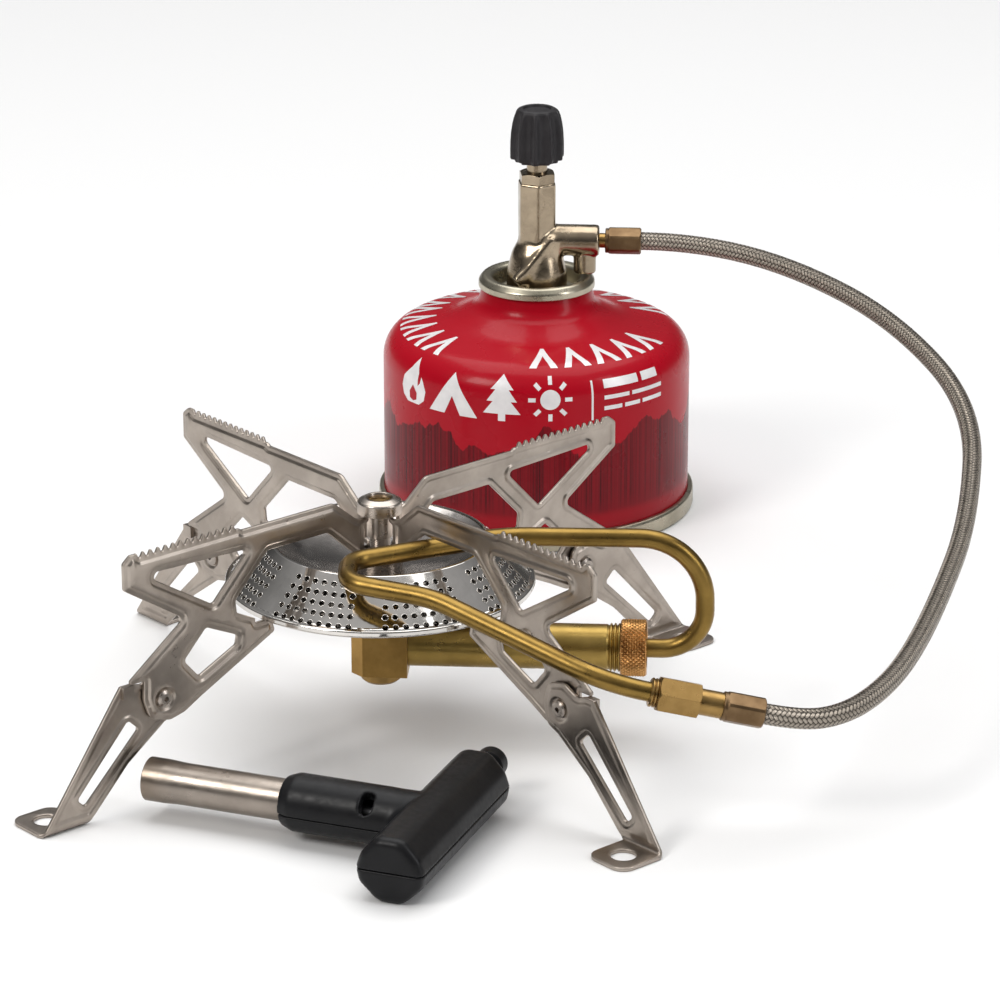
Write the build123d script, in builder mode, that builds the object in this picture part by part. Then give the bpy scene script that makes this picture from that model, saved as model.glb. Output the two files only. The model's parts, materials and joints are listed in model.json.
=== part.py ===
"""Remote-canister camping stove: folding burner, braided gas hose, canister valve and piezo lighter.

Millimetres, +Z up. The origin is on the ground under the burner's axis.
The mixing tube runs along +X.
"""

from build123d import *
from math import cos, pi, radians, sin, tan
import os

os.makedirs("parts", exist_ok=True)

# ---------------------------------------------------------------- driving dimensions
SHEET = 1.0                      # stainless sheet of the supports and legs
SUPPORT_AZIMUTHS = {"fr": -45, "br": 45, "bl": 135, "fl": 225}
REST_HEIGHT = 67.6               # top of the pot-support teeth
RAIL_HEIGHT = 66.4               # rail between the teeth
TOOTH_PITCH = 2.3
TOOTH_COUNT = 14
TOOTH_INNER_R = 47.6             # radius of the innermost tooth
HINGE_R, HINGE_Z = 70.2, 27.7    # leg rivet, in the plane of its support
FOOT_INNER_R, FOOT_OUTER_R = 94.2, 107.6
FOOT_REACH = 14.8                # how far a foot tab stands out from the support's plane
PEG_HOLE_R = 3.2
PEG_HOLE_OFFSET = 8.3            # peg hole's centre, out from the support's plane
RIVET_R = 1.5
RUNNING = 0.05                   # radial clearance of a turning fit
RIB = 0.4                        # height of the pressed ribs

BLOCK_SIDE = 14.6
BLOCK_CORNER = 3.1
BLOCK_BOTTOM, BLOCK_TOP = 17.0, 37.6
MIX_Z = 24.0
MIX_R, MIX_BORE = 5.95, 4.7
MIX_END = 65.5
NUT_START, NUT_END = 61.8, 68.6
NUT_R = 7.4
RING_TOP_R, RING_TOP_Z = 28.0, 52.8
RING_RIM_R, RING_RIM_Z = 39.8, 40.7
HOLE_R = 0.8
PANEL_SPREAD = 35.0              # degrees of each eighth of the ring that carry flame ports
POST_R, NECK_R = 3.35, 2.65

TUBE_R, TUBE_BORE = 2.45, 1.6
HOSE_R, HOSE_BORE = 2.65, 1.4
COUPLING = (72.8, -62.3, 37.3)   # start of the hexagonal coupling nut
COUPLING_WAY = (0.971, 0.100, -0.216)
COUPLING_NUT, COUPLING_NECK, FERRULE = 10.4, 5.8, 10.4
FERRULE_R = 3.6
CRIMP_R = 3.95                   # over the corners of the ferrules' crimped hexagon
FERRULE_BORE = 1.3

CAN_X, CAN_Y = 30.4, 177.3       # canister axis
CAN_R = 45.0
CAN_RIM_R = 46.6
COLLAR_R = 17.0                  # rolled rim of the collar
OUTLET_Z = 80.2
OUTLET_END = 48.7                # x of the outlet arm's end
FERRULE_END = 60.8               # x of the valve ferrule's end, where the hose starts
FERRULE_START = FERRULE_END - FERRULE
SPINDLE_R = 3.0
COLUMN_FLATS = 10.4
COLUMN_TURN = 40                 # degrees that the column's hexagon is turned from +X
KNOB_BOTTOM, KNOB_TOP = 103.8, 119.8

LIGHTER_X, LIGHTER_Y = 19.4, -80.0   # where the lighter's stem meets its grip
LIGHTER_TURN = -17.5                 # direction from the stem to the grip
LIGHTER_Z = 9.3
LIGHTER_TUBE_R = 5.5
LIGHTER_LENGTH = 75.4
GRIP_FAR, GRIP_NEAR = 31.0, 28.4
SPLIT_Z = 8.1

# Route of the bent brass preheat tube: corner points and the bend radius at each inner corner.
TUBE_ROUTE = [
    (62.0, 0.0, 24.0),
    (83.4, 0.0, 24.0),
    (83.2, -1.5, 54.8),
    (32.0, -3.0, 54.9),
    (-5.6, -23.6, 55.0),
    (-5.0, -37.0, 54.4),
    (17.0, -43.3, 53.2),
    (61.1, -63.5, 39.9),
]
TUBE_BENDS = [11, 17, 30, 7.0, 7.0, 38, 40]

# Route of the braided hose after its first straight run, which is in line with the burner's ferrule.
HOSE_FIRST_RUN = 9.9
HOSE_ROUTE = [
    (118.2, -53.3, 29.2),
    (126.6, -42.2, 30.2),
    (134.4, -21.5, 30.6),
    (142.9, 12.7, 32.7),
    (152.7, 57.6, 39.7),
    (155.4, 104.3, 55.9),
    (133.5, 144.4, 68.4),
    (104.2, 168.8, 76.2),
    (76.1, 177.3, 80.2),
    (60.8, 177.3, 80.2),
]


# ---------------------------------------------------------------- shared ways of making a shape
def finish(piece, name):
    """Label a finished piece and write it as its own STEP file."""
    piece.part.label = name
    export_step(piece.part, f"parts/{name}.step")


def outline(points):
    """Fill a closed outline of (x, y) or (x, y, corner radius) points."""
    with BuildLine() as edge:
        FilletPolyline(
            *[point[:2] for point in points],
            radius=[point[2] if len(point) > 2 else 0 for point in points],
            close=True,
        )
    make_face(edge.edges())


def lathe(points, start=(0, 0, 0), along=(0, 0, 1), mode=Mode.ADD):
    """Turn an outline of (radius, distance) points about the line from start in the direction along."""
    way = Vector(*along).normalized()
    side = Plane(origin=start, z_dir=way).x_dir
    with BuildSketch(Plane(origin=start, x_dir=side, z_dir=side.cross(way))) as half_section:
        outline(points)
    revolve(half_section.sketch, axis=Axis(start, way), mode=mode)


def rod(radius, low, high, start=(0, 0, 0), along=(0, 0, 1), mode=Mode.ADD):
    """A plain cylinder between two distances along a line."""
    lathe([(0, low), (radius, low), (radius, high), (0, high)], start, along, mode)


def prism(flats, low, high, turn, start=(0, 0, 0), along=(0, 0, 1)):
    """A hexagonal bar of the given width across its flats."""
    way = Vector(*along).normalized()
    with BuildSketch(Plane(origin=Vector(*start) + way * low, z_dir=way)) as hexagon:
        RegularPolygon(flats / 2, 6, major_radius=False, rotation=turn)
    extrude(hexagon.sketch, amount=high - low)


def further(start, along, distance):
    """The point at a distance along a direction."""
    return tuple(Vector(*start) + Vector(*along).normalized() * distance)


def support_plane(azimuth):
    """Radial upright plane: x is the radius, y is the height, and it faces clockwise, seen from above."""
    a = radians(azimuth)
    return Plane(origin=(0, 0, 0), x_dir=(cos(a), sin(a), 0), z_dir=(sin(a), -cos(a), 0))


def corner_radii(points):
    """Largest useful bend radius at each inner corner of a cord's route."""
    radii = []
    for before, here, after in zip(points, points[1:], points[2:]):
        first = Vector(*here) - Vector(*before)
        second = Vector(*after) - Vector(*here)
        shorter = min(first.length, second.length)
        radii.append(0.45 * shorter / tan(radians(first.get_angle(second)) / 2))
    return radii


# ---------------------------------------------------------------- supports, legs and rivets
FLANGE_Z = 33.85                 # shoulder that the leg's stop tab bears against

SUPPORT_OUTLINE = [
    (4.0, 50.6), (4.0, 47.6), (4.9, 47.6), (4.9, 49.7, 0.3), (7.8, 49.7, 1.0),
    (17.6, 58.4, 1.5), (36.9, 58.5, 1.5), (47.3, 47.9, 1.5), (46.9, 44.3, 1.0),
    (41.2, 41.4, 0.5), (41.2, 40.1, 0.4), (36.0, 40.1, 0.4), (35.0, 36.5, 1.0),
    (58.7, 25.2, 4.0), (64.0, 22.4, 4.0), (68.6, 21.4, 3.0), (74.6, 23.4, 3.0), (76.4, 28.6, 3.0),
    (76.2, FLANGE_Z, 0.6), (80.4, FLANGE_Z, 0.4), (80.4, 34.8, 0.6), (63.3, 47.0, 1.5),
    (81.5, 58.9, 1.0), (81.5, 65.8, 1.2), (79.3, REST_HEIGHT, 1.0), (78.0, REST_HEIGHT, 0.3),
    (77.4, RAIL_HEIGHT), (45.6, RAIL_HEIGHT), (44.8, 65.8), (15.2, 65.7, 3.0),
    (8.2, 60.0, 1.5), (6.4, 59.3, 0.3), (4.9, 59.3), (4.9, 60.9), (4.0, 60.9),
    (4.0, 58.3), (5.6, 57.7, 0.4), (5.6, 51.2, 0.4),
]
WINDOW_OUTER = [(75.5, 61.6, 1.2), (42.8, 60.4, 1.0), (54.3, 48.5, 1.2)]
WINDOW_LOWER = [
    (56.7, 43.0, 1.2), (46.9, 38.4, 1.0), (47.5, 35.9, 1.0), (59.2, 30.6, 1.2), (63.8, 35.9, 1.2),
]
RAIL_RIB = [
    (17.6, 63.2, 0.9), (16.4, 61.6, 0.9), (70.0, 62.6, 0.9), (79.2, 62.2, 0.9), (79.4, 64.4, 0.9),
    (70.0, 64.6, 0.9),
]
STRUT_RIB = [
    (46.0, 58.3, 0.6), (44.4, 58.3, 0.6), (51.6, 49.0, 1.0), (52.6, 43.8, 0.8), (54.0, 44.6, 0.8),
    (53.2, 49.4, 1.0),
]
TOP_RIB = [(78.6, 61.0, 0.7), (60.2, 48.2, 0.7), (61.0, 46.9, 0.7), (79.6, 59.6, 0.7)]

LEG_OUTLINE = [
    (64.4, 28.6, 3.0), (65.2, 22.6, 3.5), (69.6, 20.9, 2.0), (81.0, 12.9, 8.0), (91.6, 2.2, 1.5),
    (FOOT_INNER_R, 0.0), (FOOT_OUTER_R, 0.0), (82.6, 33.6, 0.5), (79.4, 33.6, 0.3), (76.4, 32.6, 2.5),
    (71.4, 35.0, 3.5), (65.8, 33.4, 3.0),
]
LEG_SLOT = [(77.5, 21.2, 1.0), (80.7, 24.3, 1.0), (96.8, 7.4, 1.0), (94.4, 5.2, 1.0)]
LEG_RIB = [(84.6, 24.2, 0.5), (85.8, 24.6, 0.5), (100.6, 5.4, 0.5), (99.6, 4.6, 0.5)]
LEG_INNER_RIB = [(75.0, 19.6, 0.5), (75.8, 20.6, 0.5), (91.6, 5.8, 0.5), (90.9, 4.8, 0.5)]
STOP_TAB = [(79.4, 30.4, 0.3), (82.6, 30.4), (82.6, 33.6, 0.3), (79.4, 33.6, 0.3)]

for corner, azimuth in SUPPORT_AZIMUTHS.items():
    upright = support_plane(azimuth)

    with BuildPart() as support:
        with BuildSketch(upright.offset(-SHEET / 2)):
            outline(SUPPORT_OUTLINE)
            for tooth in range(TOOTH_COUNT):
                with Locations((TOOTH_INNER_R + tooth * TOOTH_PITCH, RAIL_HEIGHT - 0.3)):
                    Trapezoid(2.0, REST_HEIGHT - RAIL_HEIGHT + 0.3, 62, align=(Align.CENTER, Align.MIN))
        extrude(amount=SHEET)
        with BuildSketch(upright.offset(-SHEET / 2)):
            outline(WINDOW_OUTER)
            outline(WINDOW_LOWER)
            with Locations((HINGE_R, HINGE_Z)):
                Circle(RIVET_R)
        extrude(amount=SHEET, mode=Mode.SUBTRACT)
        with BuildSketch(upright.offset(-SHEET / 2)):
            outline(RAIL_RIB)
            outline(STRUT_RIB)
            outline(TOP_RIB)
        extrude(amount=-RIB, taper=25)
        with BuildSketch(upright.offset(SHEET / 2)):
            outline(RAIL_RIB)
            outline(STRUT_RIB)
            outline(TOP_RIB)
        extrude(amount=-RIB, taper=25, mode=Mode.SUBTRACT)
    finish(support, f"support_{corner}")

    leg_face = SHEET / 2 + RUNNING
    with BuildPart() as leg:
        with BuildSketch(upright.offset(leg_face)):
            outline(LEG_OUTLINE)
        extrude(amount=SHEET)
        with BuildSketch(upright.offset(leg_face)):
            outline(LEG_SLOT)
            with Locations((HINGE_R, HINGE_Z)):
                Circle(RIVET_R + RUNNING)
        extrude(amount=SHEET, mode=Mode.SUBTRACT)
        with BuildSketch(upright.offset(leg_face + SHEET)):
            outline(LEG_RIB)
            outline(LEG_INNER_RIB)
        extrude(amount=0.3, taper=20)
        # The stop tab is folded back across the edge of the support.
        with BuildSketch(upright.offset(-SHEET / 2)):
            outline(STOP_TAB)
        extrude(amount=2 * SHEET + RUNNING)
        # The foot is folded flat onto the ground and has a peg hole.
        foot_middle = (FOOT_INNER_R + FOOT_OUTER_R) / 2
        foot_half = (FOOT_OUTER_R - FOOT_INNER_R) / 2
        ground = Plane(origin=(0, 0, 0), x_dir=upright.x_dir, z_dir=(0, 0, 1))
        with BuildSketch(ground):
            with Locations((foot_middle, -(leg_face + FOOT_REACH) / 2)):
                RectangleRounded(2 * foot_half, FOOT_REACH - leg_face, foot_half * 0.55)
            with Locations((foot_middle, -(leg_face + 3.0))):
                Rectangle(2 * foot_half, 6.0)
            with Locations((foot_middle, -PEG_HOLE_OFFSET)):
                Circle(PEG_HOLE_R, mode=Mode.SUBTRACT)
        extrude(amount=SHEET)
    finish(leg, f"leg_{corner}")

    with BuildPart() as rivet:
        pin_start = tuple(upright.from_local_coords(Vector(HINGE_R, HINGE_Z, 0)))
        pin_way = tuple(upright.z_dir)
        head = leg_face + SHEET + RUNNING
        lathe(
            [
                (0.7, -SHEET / 2 - 0.9), (1.5, -SHEET / 2 - 0.9, 0.3), (2.3, -SHEET / 2 - 0.5),
                (2.3, -SHEET / 2), (RIVET_R, -SHEET / 2), (RIVET_R, head), (2.3, head),
                (2.3, head + 0.4), (1.7, head + 0.8, 0.3), (0.7, head + 0.8),
            ],
            pin_start,
            pin_way,
        )
    finish(rivet, f"leg_rivet_{corner}")

# ---------------------------------------------------------------- burner head
NECK_TOP = 43.4
SEAT_Z, SEAT_TOP = 46.0, 49.2
HUB_R = 5.75                     # outside of the hub's seat and cap

with BuildPart() as burner_block:
    with BuildSketch(Plane.XY.offset(BLOCK_BOTTOM)):
        Rectangle(BLOCK_SIDE, BLOCK_SIDE)
    extrude(amount=BLOCK_TOP - BLOCK_BOTTOM)
    chamfer(burner_block.edges().filter_by(Axis.Z).group_by(Axis.X)[0], BLOCK_CORNER)
    rod(4.4, BLOCK_TOP - 1, NECK_TOP)
    rod(3.2, BLOCK_BOTTOM - 1, 41.4, mode=Mode.SUBTRACT)
    rod(2.2, 41.0, NECK_TOP + 1, mode=Mode.SUBTRACT)
    rod(4.6, BLOCK_BOTTOM - 1, BLOCK_BOTTOM + 2.6, mode=Mode.SUBTRACT)
    rod(4.6, 2.0, BLOCK_SIDE / 2 + 1, (0, 0, MIX_Z), (1, 0, 0), Mode.SUBTRACT)
    for port in range(4):
        rod(1.3, 0, 6, (0, 0, 40.0), (cos(port * pi / 2), sin(port * pi / 2), 0), Mode.SUBTRACT)
finish(burner_block, "burner_block")

with BuildPart() as block_plug:
    lathe(
        [
            (0, 13.8), (4.4, 13.8), (5.2, 14.5), (5.2, BLOCK_BOTTOM), (4.6, BLOCK_BOTTOM), (4.6, 19.4),
            (0, 19.4),
        ]
    )
finish(block_plug, "block_plug")

with BuildPart() as mixing_tube:
    start = (BLOCK_SIDE / 2, 0, MIX_Z)
    length = MIX_END - BLOCK_SIDE / 2
    thread_start = 51.6
    thread = []
    for turn in range(6):
        base = thread_start + turn * 1.05
        thread += [
            (MIX_R - 0.25, base), (MIX_R + 0.3, base + 0.35), (MIX_R + 0.3, base + 0.6),
            (MIX_R - 0.25, base + 0.95),
        ]
    lathe(
        [(3.8, -4.0), (4.6, -4.0), (4.6, 0), (MIX_R, 0), (MIX_R, thread_start - 0.6)]
        + thread
        + [(MIX_R - 0.25, length), (MIX_BORE, length), (MIX_BORE, 2.0), (3.8, 0.5)],
        start,
        (1, 0, 0),
    )
    for way in ((0, 0, -1), (0, 1, 0)):
        rod(1.9, 0, 8, (50.0, 0, MIX_Z), way, Mode.SUBTRACT)
finish(mixing_tube, "mixing_tube")

with BuildPart() as gas_jet:
    lathe(
        [
            (0.3, 54.0), (1.6, 54.0), (2.2, 56.0), (MIX_BORE - RUNNING, 56.5),
            (MIX_BORE - RUNNING, MIX_END), (5.9, MIX_END), (5.9, MIX_END + 1.2), (TUBE_R, MIX_END + 1.2),
            (TUBE_R, 62.0), (1.0, 61.0), (0.3, 57.0),
        ],
        (0, 0, MIX_Z),
        (1, 0, 0),
    )
finish(gas_jet, "gas_jet")

with BuildPart() as knurled_nut:
    lathe(
        [
            (MIX_R + 0.35, NUT_START), (NUT_R - 0.5, NUT_START), (NUT_R, NUT_START + 0.5),
            (NUT_R, NUT_END - 0.6), (NUT_R - 0.6, NUT_END), (TUBE_R + 0.1, NUT_END),
            (TUBE_R + 0.1, MIX_END + 1.2), (MIX_R + 0.35, MIX_END + 1.2),
        ],
        (0, 0, MIX_Z),
        (1, 0, 0),
    )
finish(knurled_nut, "knurled_nut")

with BuildPart() as burner_pan:
    lathe(
        [
            (4.5, BLOCK_TOP), (24.0, BLOCK_TOP, 6), (35.0, 40.9, 3), (38.6, 41.0), (38.6, 41.7),
            (34.8, 41.6, 3), (24.0, BLOCK_TOP + 0.8, 6), (4.5, BLOCK_TOP + 0.8),
        ]
    )
finish(burner_pan, "burner_pan")

with BuildPart() as flame_ring:
    lathe(
        [
            (RING_TOP_R - 0.6, RING_TOP_Z), (RING_TOP_R, RING_TOP_Z, 0.4), (38.3, 42.7, 0.8),
            (RING_RIM_R, 42.4, 0.5), (RING_RIM_R, RING_RIM_Z, 0.6), (38.7, RING_RIM_Z, 0.3),
            (38.7, 41.8, 0.3), (37.6, 42.2, 0.4), (RING_TOP_R - 0.6, 51.9, 0.2),
        ]
    )
    # Five staggered rows of flame ports, in eight panels with plain strips between them.
    slope = Vector(38.3 - RING_TOP_R, 0, 42.7 - RING_TOP_Z).normalized()
    port_planes = []
    for row in range(5):
        radius = RING_TOP_R + 2.1 + row * 2.0
        height = RING_TOP_Z + (radius - RING_TOP_R) * slope.Z / slope.X
        panel_ports = 7 + (row + 1) // 2
        for panel in range(8):
            for port in range(panel_ports):
                angle = radians(45 * panel + 22.5 + PANEL_SPREAD * ((port + 0.5) / panel_ports - 0.5))
                out = Vector(cos(angle), sin(angle), 0)
                middle = out * radius + Vector(0, 0, height)
                port_planes.append(Plane(origin=middle, z_dir=out * -slope.Z + Vector(0, 0, slope.X)))
    with Locations(*port_planes):
        Cylinder(HOLE_R, 3.0, mode=Mode.SUBTRACT)
finish(flame_ring, "flame_ring")

with BuildPart() as top_plate:
    lathe(
        [
            (2.75, SEAT_Z - 0.6), (8.0, SEAT_Z - 0.6, 4), (20.0, 48.0, 8), (27.3, 52.0), (26.9, 52.6),
            (19.6, 48.7, 8), (8.0, SEAT_Z, 4), (2.75, SEAT_Z),
        ]
    )
finish(top_plate, "top_plate")

with BuildPart() as hub_spacer:
    lathe([(2.25, NECK_TOP), (3.6, NECK_TOP), (3.6, SEAT_Z - 0.6), (2.25, SEAT_Z - 0.6)])
finish(hub_spacer, "hub_spacer")

with BuildPart() as hub_post:
    lathe(
        [
            (1.2, 41.5), (2.2, 41.5), (2.2, SEAT_Z - 0.6), (NECK_R, SEAT_Z - 0.6), (NECK_R, 53.0),
            (POST_R, 53.4), (POST_R, 60.4), (2.3, 60.4), (2.3, 61.8), (1.2, 61.8),
        ]
    )
finish(hub_post, "hub_post")

with BuildPart() as hub_seat:
    lathe(
        [
            (NECK_R, SEAT_Z), (HUB_R, SEAT_Z), (HUB_R, SEAT_TOP, 0.3), (5.2, SEAT_TOP), (5.2, 47.2),
            (3.6, 47.2), (3.6, SEAT_TOP), (NECK_R, SEAT_TOP),
        ]
    )
finish(hub_seat, "hub_seat")

with BuildPart() as hub_cap:
    lathe(
        [
            (2.3, 60.4), (POST_R + 0.25, 60.4), (POST_R + 0.25, 61.4), (5.2, 61.4), (5.2, 59.7),
            (HUB_R, 59.7, 0.2), (HUB_R, 62.9, 0.8), (3.9, 63.8, 0.6), (3.3, 63.8, 0.2), (3.0, 62.6),
            (2.3, 62.6),
        ]
    )
finish(hub_cap, "hub_cap")

with BuildPart() as hub_screw:
    lathe([(0, 56.0), (1.15, 56.0), (1.15, 62.65), (2.8, 62.65), (2.8, 63.2, 0.3), (0, 63.5)])
    with BuildSketch(Plane.XY.offset(63.1)):
        Rectangle(6, 0.7)
    extrude(amount=1, mode=Mode.SUBTRACT)
finish(hub_screw, "hub_screw")

# ---------------------------------------------------------------- gas line
COUPLING_END = COUPLING_NUT + COUPLING_NECK

with BuildPart() as preheat_tube:
    tail = further(COUPLING, COUPLING_WAY, 4.0)
    with BuildLine() as tube_path:
        FilletPolyline(*TUBE_ROUTE, tail, radius=TUBE_BENDS)
    with BuildSketch(Plane(origin=TUBE_ROUTE[0], z_dir=(1, 0, 0))):
        Circle(TUBE_R)
        Circle(TUBE_BORE, mode=Mode.SUBTRACT)
    sweep(path=tube_path.line)
finish(preheat_tube, "preheat_tube")

NUT_FLATS = 8.1
with BuildPart() as coupling_nut:
    prism(NUT_FLATS, 0, COUPLING_NUT, 10, COUPLING, COUPLING_WAY)
    lathe(
        [
            (0, 0), (3.9, 0), (4.7, 0.6), (4.7, COUPLING_NUT - 0.4), (4.2, COUPLING_NUT),
            (0, COUPLING_NUT),
        ],
        COUPLING,
        COUPLING_WAY,
        Mode.INTERSECT,
    )
    # The male thread that the nut is screwed onto shows as two rings at its open end.
    lathe(
        [
            (2.0, -1.9), (3.3, -1.9), (3.6, -1.6), (3.6, -1.3), (3.3, -1.0), (3.6, -0.7), (3.6, -0.4),
            (3.3, -0.1), (3.3, 0.5), (2.0, 0.5),
        ],
        COUPLING,
        COUPLING_WAY,
    )
    rod(TUBE_R + 0.03, -2, 4.0, COUPLING, COUPLING_WAY, Mode.SUBTRACT)
    rod(3.0, 4.0, COUPLING_NUT + 1, COUPLING, COUPLING_WAY, Mode.SUBTRACT)
finish(coupling_nut, "coupling_nut")

with BuildPart() as hose_nipple:
    lathe(
        [
            (1.0, 4.1), (3.0, 4.1), (3.0, COUPLING_NUT), (3.25, COUPLING_NUT), (3.25, COUPLING_END),
            (1.3, COUPLING_END), (1.3, COUPLING_END + 8), (0.8, COUPLING_END + 8),
        ],
        COUPLING,
        COUPLING_WAY,
    )
finish(hose_nipple, "hose_nipple")

def crimped_ferrule(start, along):
    """A sleeve with a round collar, crimped to a hexagon over the hose's end."""
    prism(2 * FERRULE_R, 0.8, FERRULE, 0, start, along)
    lathe(
        [
            (0, 0), (FERRULE_R, 0, 0.2), (FERRULE_R, 0.9), (CRIMP_R, 1.3), (CRIMP_R, FERRULE - 0.4),
            (FERRULE_R - 0.1, FERRULE), (0, FERRULE),
        ],
        start,
        along,
        Mode.INTERSECT,
    )
    lathe([(0, 0), (FERRULE_R, 0, 0.3), (FERRULE_R, 1.2, 0.3), (0, 1.2)], start, along)
    rod(FERRULE_BORE, -1, FERRULE + 1, start, along, Mode.SUBTRACT)


ferrule_start = further(COUPLING, COUPLING_WAY, COUPLING_END)
with BuildPart() as burner_ferrule:
    crimped_ferrule(ferrule_start, COUPLING_WAY)
finish(burner_ferrule, "burner_ferrule")

hose_start = further(COUPLING, COUPLING_WAY, COUPLING_END + FERRULE)
hose_turn = further(COUPLING, COUPLING_WAY, COUPLING_END + FERRULE + HOSE_FIRST_RUN)
hose_route = [hose_start, hose_turn] + HOSE_ROUTE
hose_radii = corner_radii(hose_route)
with BuildPart() as hose:
    with BuildLine() as hose_path:
        FilletPolyline(*hose_route, radius=hose_radii)
    with BuildSketch(Plane(origin=hose_start, z_dir=hose_path.line % 0)):
        Circle(HOSE_R)
        Circle(HOSE_BORE, mode=Mode.SUBTRACT)
    sweep(path=hose_path.line)
finish(hose, "hose")
hose_length = hose_path.wires()[0].length
hose_section = pi * (HOSE_R**2 - HOSE_BORE**2)
print("hose starts at", [round(c, 2) for c in hose_start], "turns at", [round(c, 2) for c in hose_turn])
print("hose length", round(hose_length, 1))
print("hose bend radii", [round(r, 1) for r in hose_radii])
print("hose volume", round(hose.part.volume, 1), "section x length", round(hose_section * hose_length, 1))

with BuildPart() as valve_nipple:
    lathe(
        [
            (0.8, OUTLET_END - 5), (1.9, OUTLET_END - 5), (1.9, OUTLET_END), (2.15, OUTLET_END),
            (2.15, FERRULE_START), (1.3, FERRULE_START), (1.3, FERRULE_END - 2), (0.8, FERRULE_END - 2),
        ],
        (0, CAN_Y, OUTLET_Z),
        (1, 0, 0),
    )
finish(valve_nipple, "valve_nipple")

with BuildPart() as valve_ferrule:
    crimped_ferrule((FERRULE_START, CAN_Y, OUTLET_Z), (1, 0, 0))
finish(valve_ferrule, "valve_ferrule")

# ---------------------------------------------------------------- valve
CAN_AXIS = (CAN_X, CAN_Y, 0)
COLUMN_TOP = 97.8
THREAD_R = 5.55                  # 7/16 inch canister thread
OUTLET_R = 4.6
LUG_X = CAN_X + 14.0             # lug under the outlet arm

with BuildPart() as valve_body:
    prism(COLUMN_FLATS, 74.0, COLUMN_TOP, COLUMN_TURN, CAN_AXIS)
    # Cast bell over the canister's thread.
    lathe(
        [(0, 65.6), (8.9, 65.6, 0.5), (8.8, 70.5, 3), (7.4, 76.5, 4), (5.2, 80.5), (0, 80.5)],
        CAN_AXIS,
    )
    rod(OUTLET_R, 0, OUTLET_END - CAN_X, (CAN_X, CAN_Y, OUTLET_Z), (1, 0, 0))
    chamfer(valve_body.edges().filter_by(GeomType.CIRCLE).group_by(Axis.X)[-1], 0.5)
    rod(3.3, 70.5, OUTLET_Z, (LUG_X, CAN_Y, 0))
    # A web runs from the arm down to a small lug at the front left.
    web_start = (CAN_X + 4.0, CAN_Y - 4.2, 0)
    web = Plane(origin=web_start, x_dir=(-0.86, -0.51, 0), z_dir=(-0.51, 0.86, 0))
    with BuildSketch(web.offset(-1.5)):
        outline(
            [
                (-2.5, 76.0), (-2.0, 82.4, 1.5), (0.5, 82.4, 1.5), (8.4, 74.2, 2.0), (12.0, 71.6, 0.8),
                (12.0, 70.3, 0.5), (10.0, 68.6), (5.0, 68.6),
            ]
        )
    extrude(amount=3.0)
    rod(THREAD_R + 0.06, 65.0, 70.6, CAN_AXIS, mode=Mode.SUBTRACT)
    rod(2.2, 70.0, 77.0, CAN_AXIS, mode=Mode.SUBTRACT)
    rod(0.8, 76.0, 83.0, CAN_AXIS, mode=Mode.SUBTRACT)
    rod(SPINDLE_R + RUNNING, 82.4, COLUMN_TOP + 1, CAN_AXIS, mode=Mode.SUBTRACT)
    rod(3.8, 94.0, COLUMN_TOP + 1, CAN_AXIS, mode=Mode.SUBTRACT)
    outlet = (OUTLET_END, CAN_Y, OUTLET_Z)
    rod(1.9, -5, 1, outlet, (1, 0, 0), Mode.SUBTRACT)
    rod(0.8, CAN_X - OUTLET_END, 0, outlet, (1, 0, 0), Mode.SUBTRACT)
finish(valve_body, "valve_body")

PACKING_TOP = 100.7
with BuildPart() as packing_nut:
    prism(9.6, COLUMN_TOP, PACKING_TOP, COLUMN_TURN, CAN_AXIS)
    lathe(
        [(0, 90), (7, 90), (7, PACKING_TOP - 1.2), (4.7, PACKING_TOP), (0, PACKING_TOP)],
        CAN_AXIS,
        mode=Mode.INTERSECT,
    )
    rod(3.75, 95.6, COLUMN_TOP + 0.5, CAN_AXIS)
    rod(SPINDLE_R + RUNNING, 90, 104, CAN_AXIS, mode=Mode.SUBTRACT)
finish(packing_nut, "packing_nut")

with BuildPart() as spindle_seal:
    bore = SPINDLE_R + RUNNING
    lathe([(bore, 94.05), (3.75, 94.05), (3.75, 95.5), (bore, 95.5)], CAN_AXIS)
finish(spindle_seal, "spindle_seal")

with BuildPart() as valve_spindle:
    lathe([(0, 82.6), (0.5, 82.6), (SPINDLE_R, 86.0), (SPINDLE_R, 112.0), (0, 112.0)], CAN_AXIS)
finish(valve_spindle, "valve_spindle")

KNOB_LOBES = 10
with BuildPart() as valve_knob:
    lathe(
        [
            (SPINDLE_R, KNOB_BOTTOM), (7.6, KNOB_BOTTOM, 0.5), (8.0, 107.5, 3), (7.75, 112.5, 4),
            (6.6, KNOB_TOP - 1.2, 1.2), (4.6, KNOB_TOP, 0.5), (3.9, KNOB_TOP - 0.8, 0.6),
            (0, KNOB_TOP - 1.1), (0, 112.0), (SPINDLE_R, 112.0),
        ],
        CAN_AXIS,
    )
    with BuildSketch(Plane.XY.offset(KNOB_BOTTOM - 1)):
        with Locations((CAN_X, CAN_Y)):
            with PolarLocations(9.9, KNOB_LOBES, start_angle=180 / KNOB_LOBES + 5):
                Circle(2.5)
    extrude(amount=KNOB_TOP - KNOB_BOTTOM + 2, mode=Mode.SUBTRACT)
finish(valve_knob, "valve_knob")

with BuildPart() as inlet_gasket:
    lathe([(3.1, 70.05), (5.3, 70.05), (5.3, 70.55), (3.1, 70.55)], CAN_AXIS)
finish(inlet_gasket, "inlet_gasket")

with BuildPart() as inlet_probe:
    lathe([(0.5, 70.1), (1.0, 70.1), (1.0, 72.0), (2.15, 72.4), (2.15, 75.5), (0.5, 75.5)], CAN_AXIS)
finish(inlet_probe, "inlet_probe")

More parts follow.
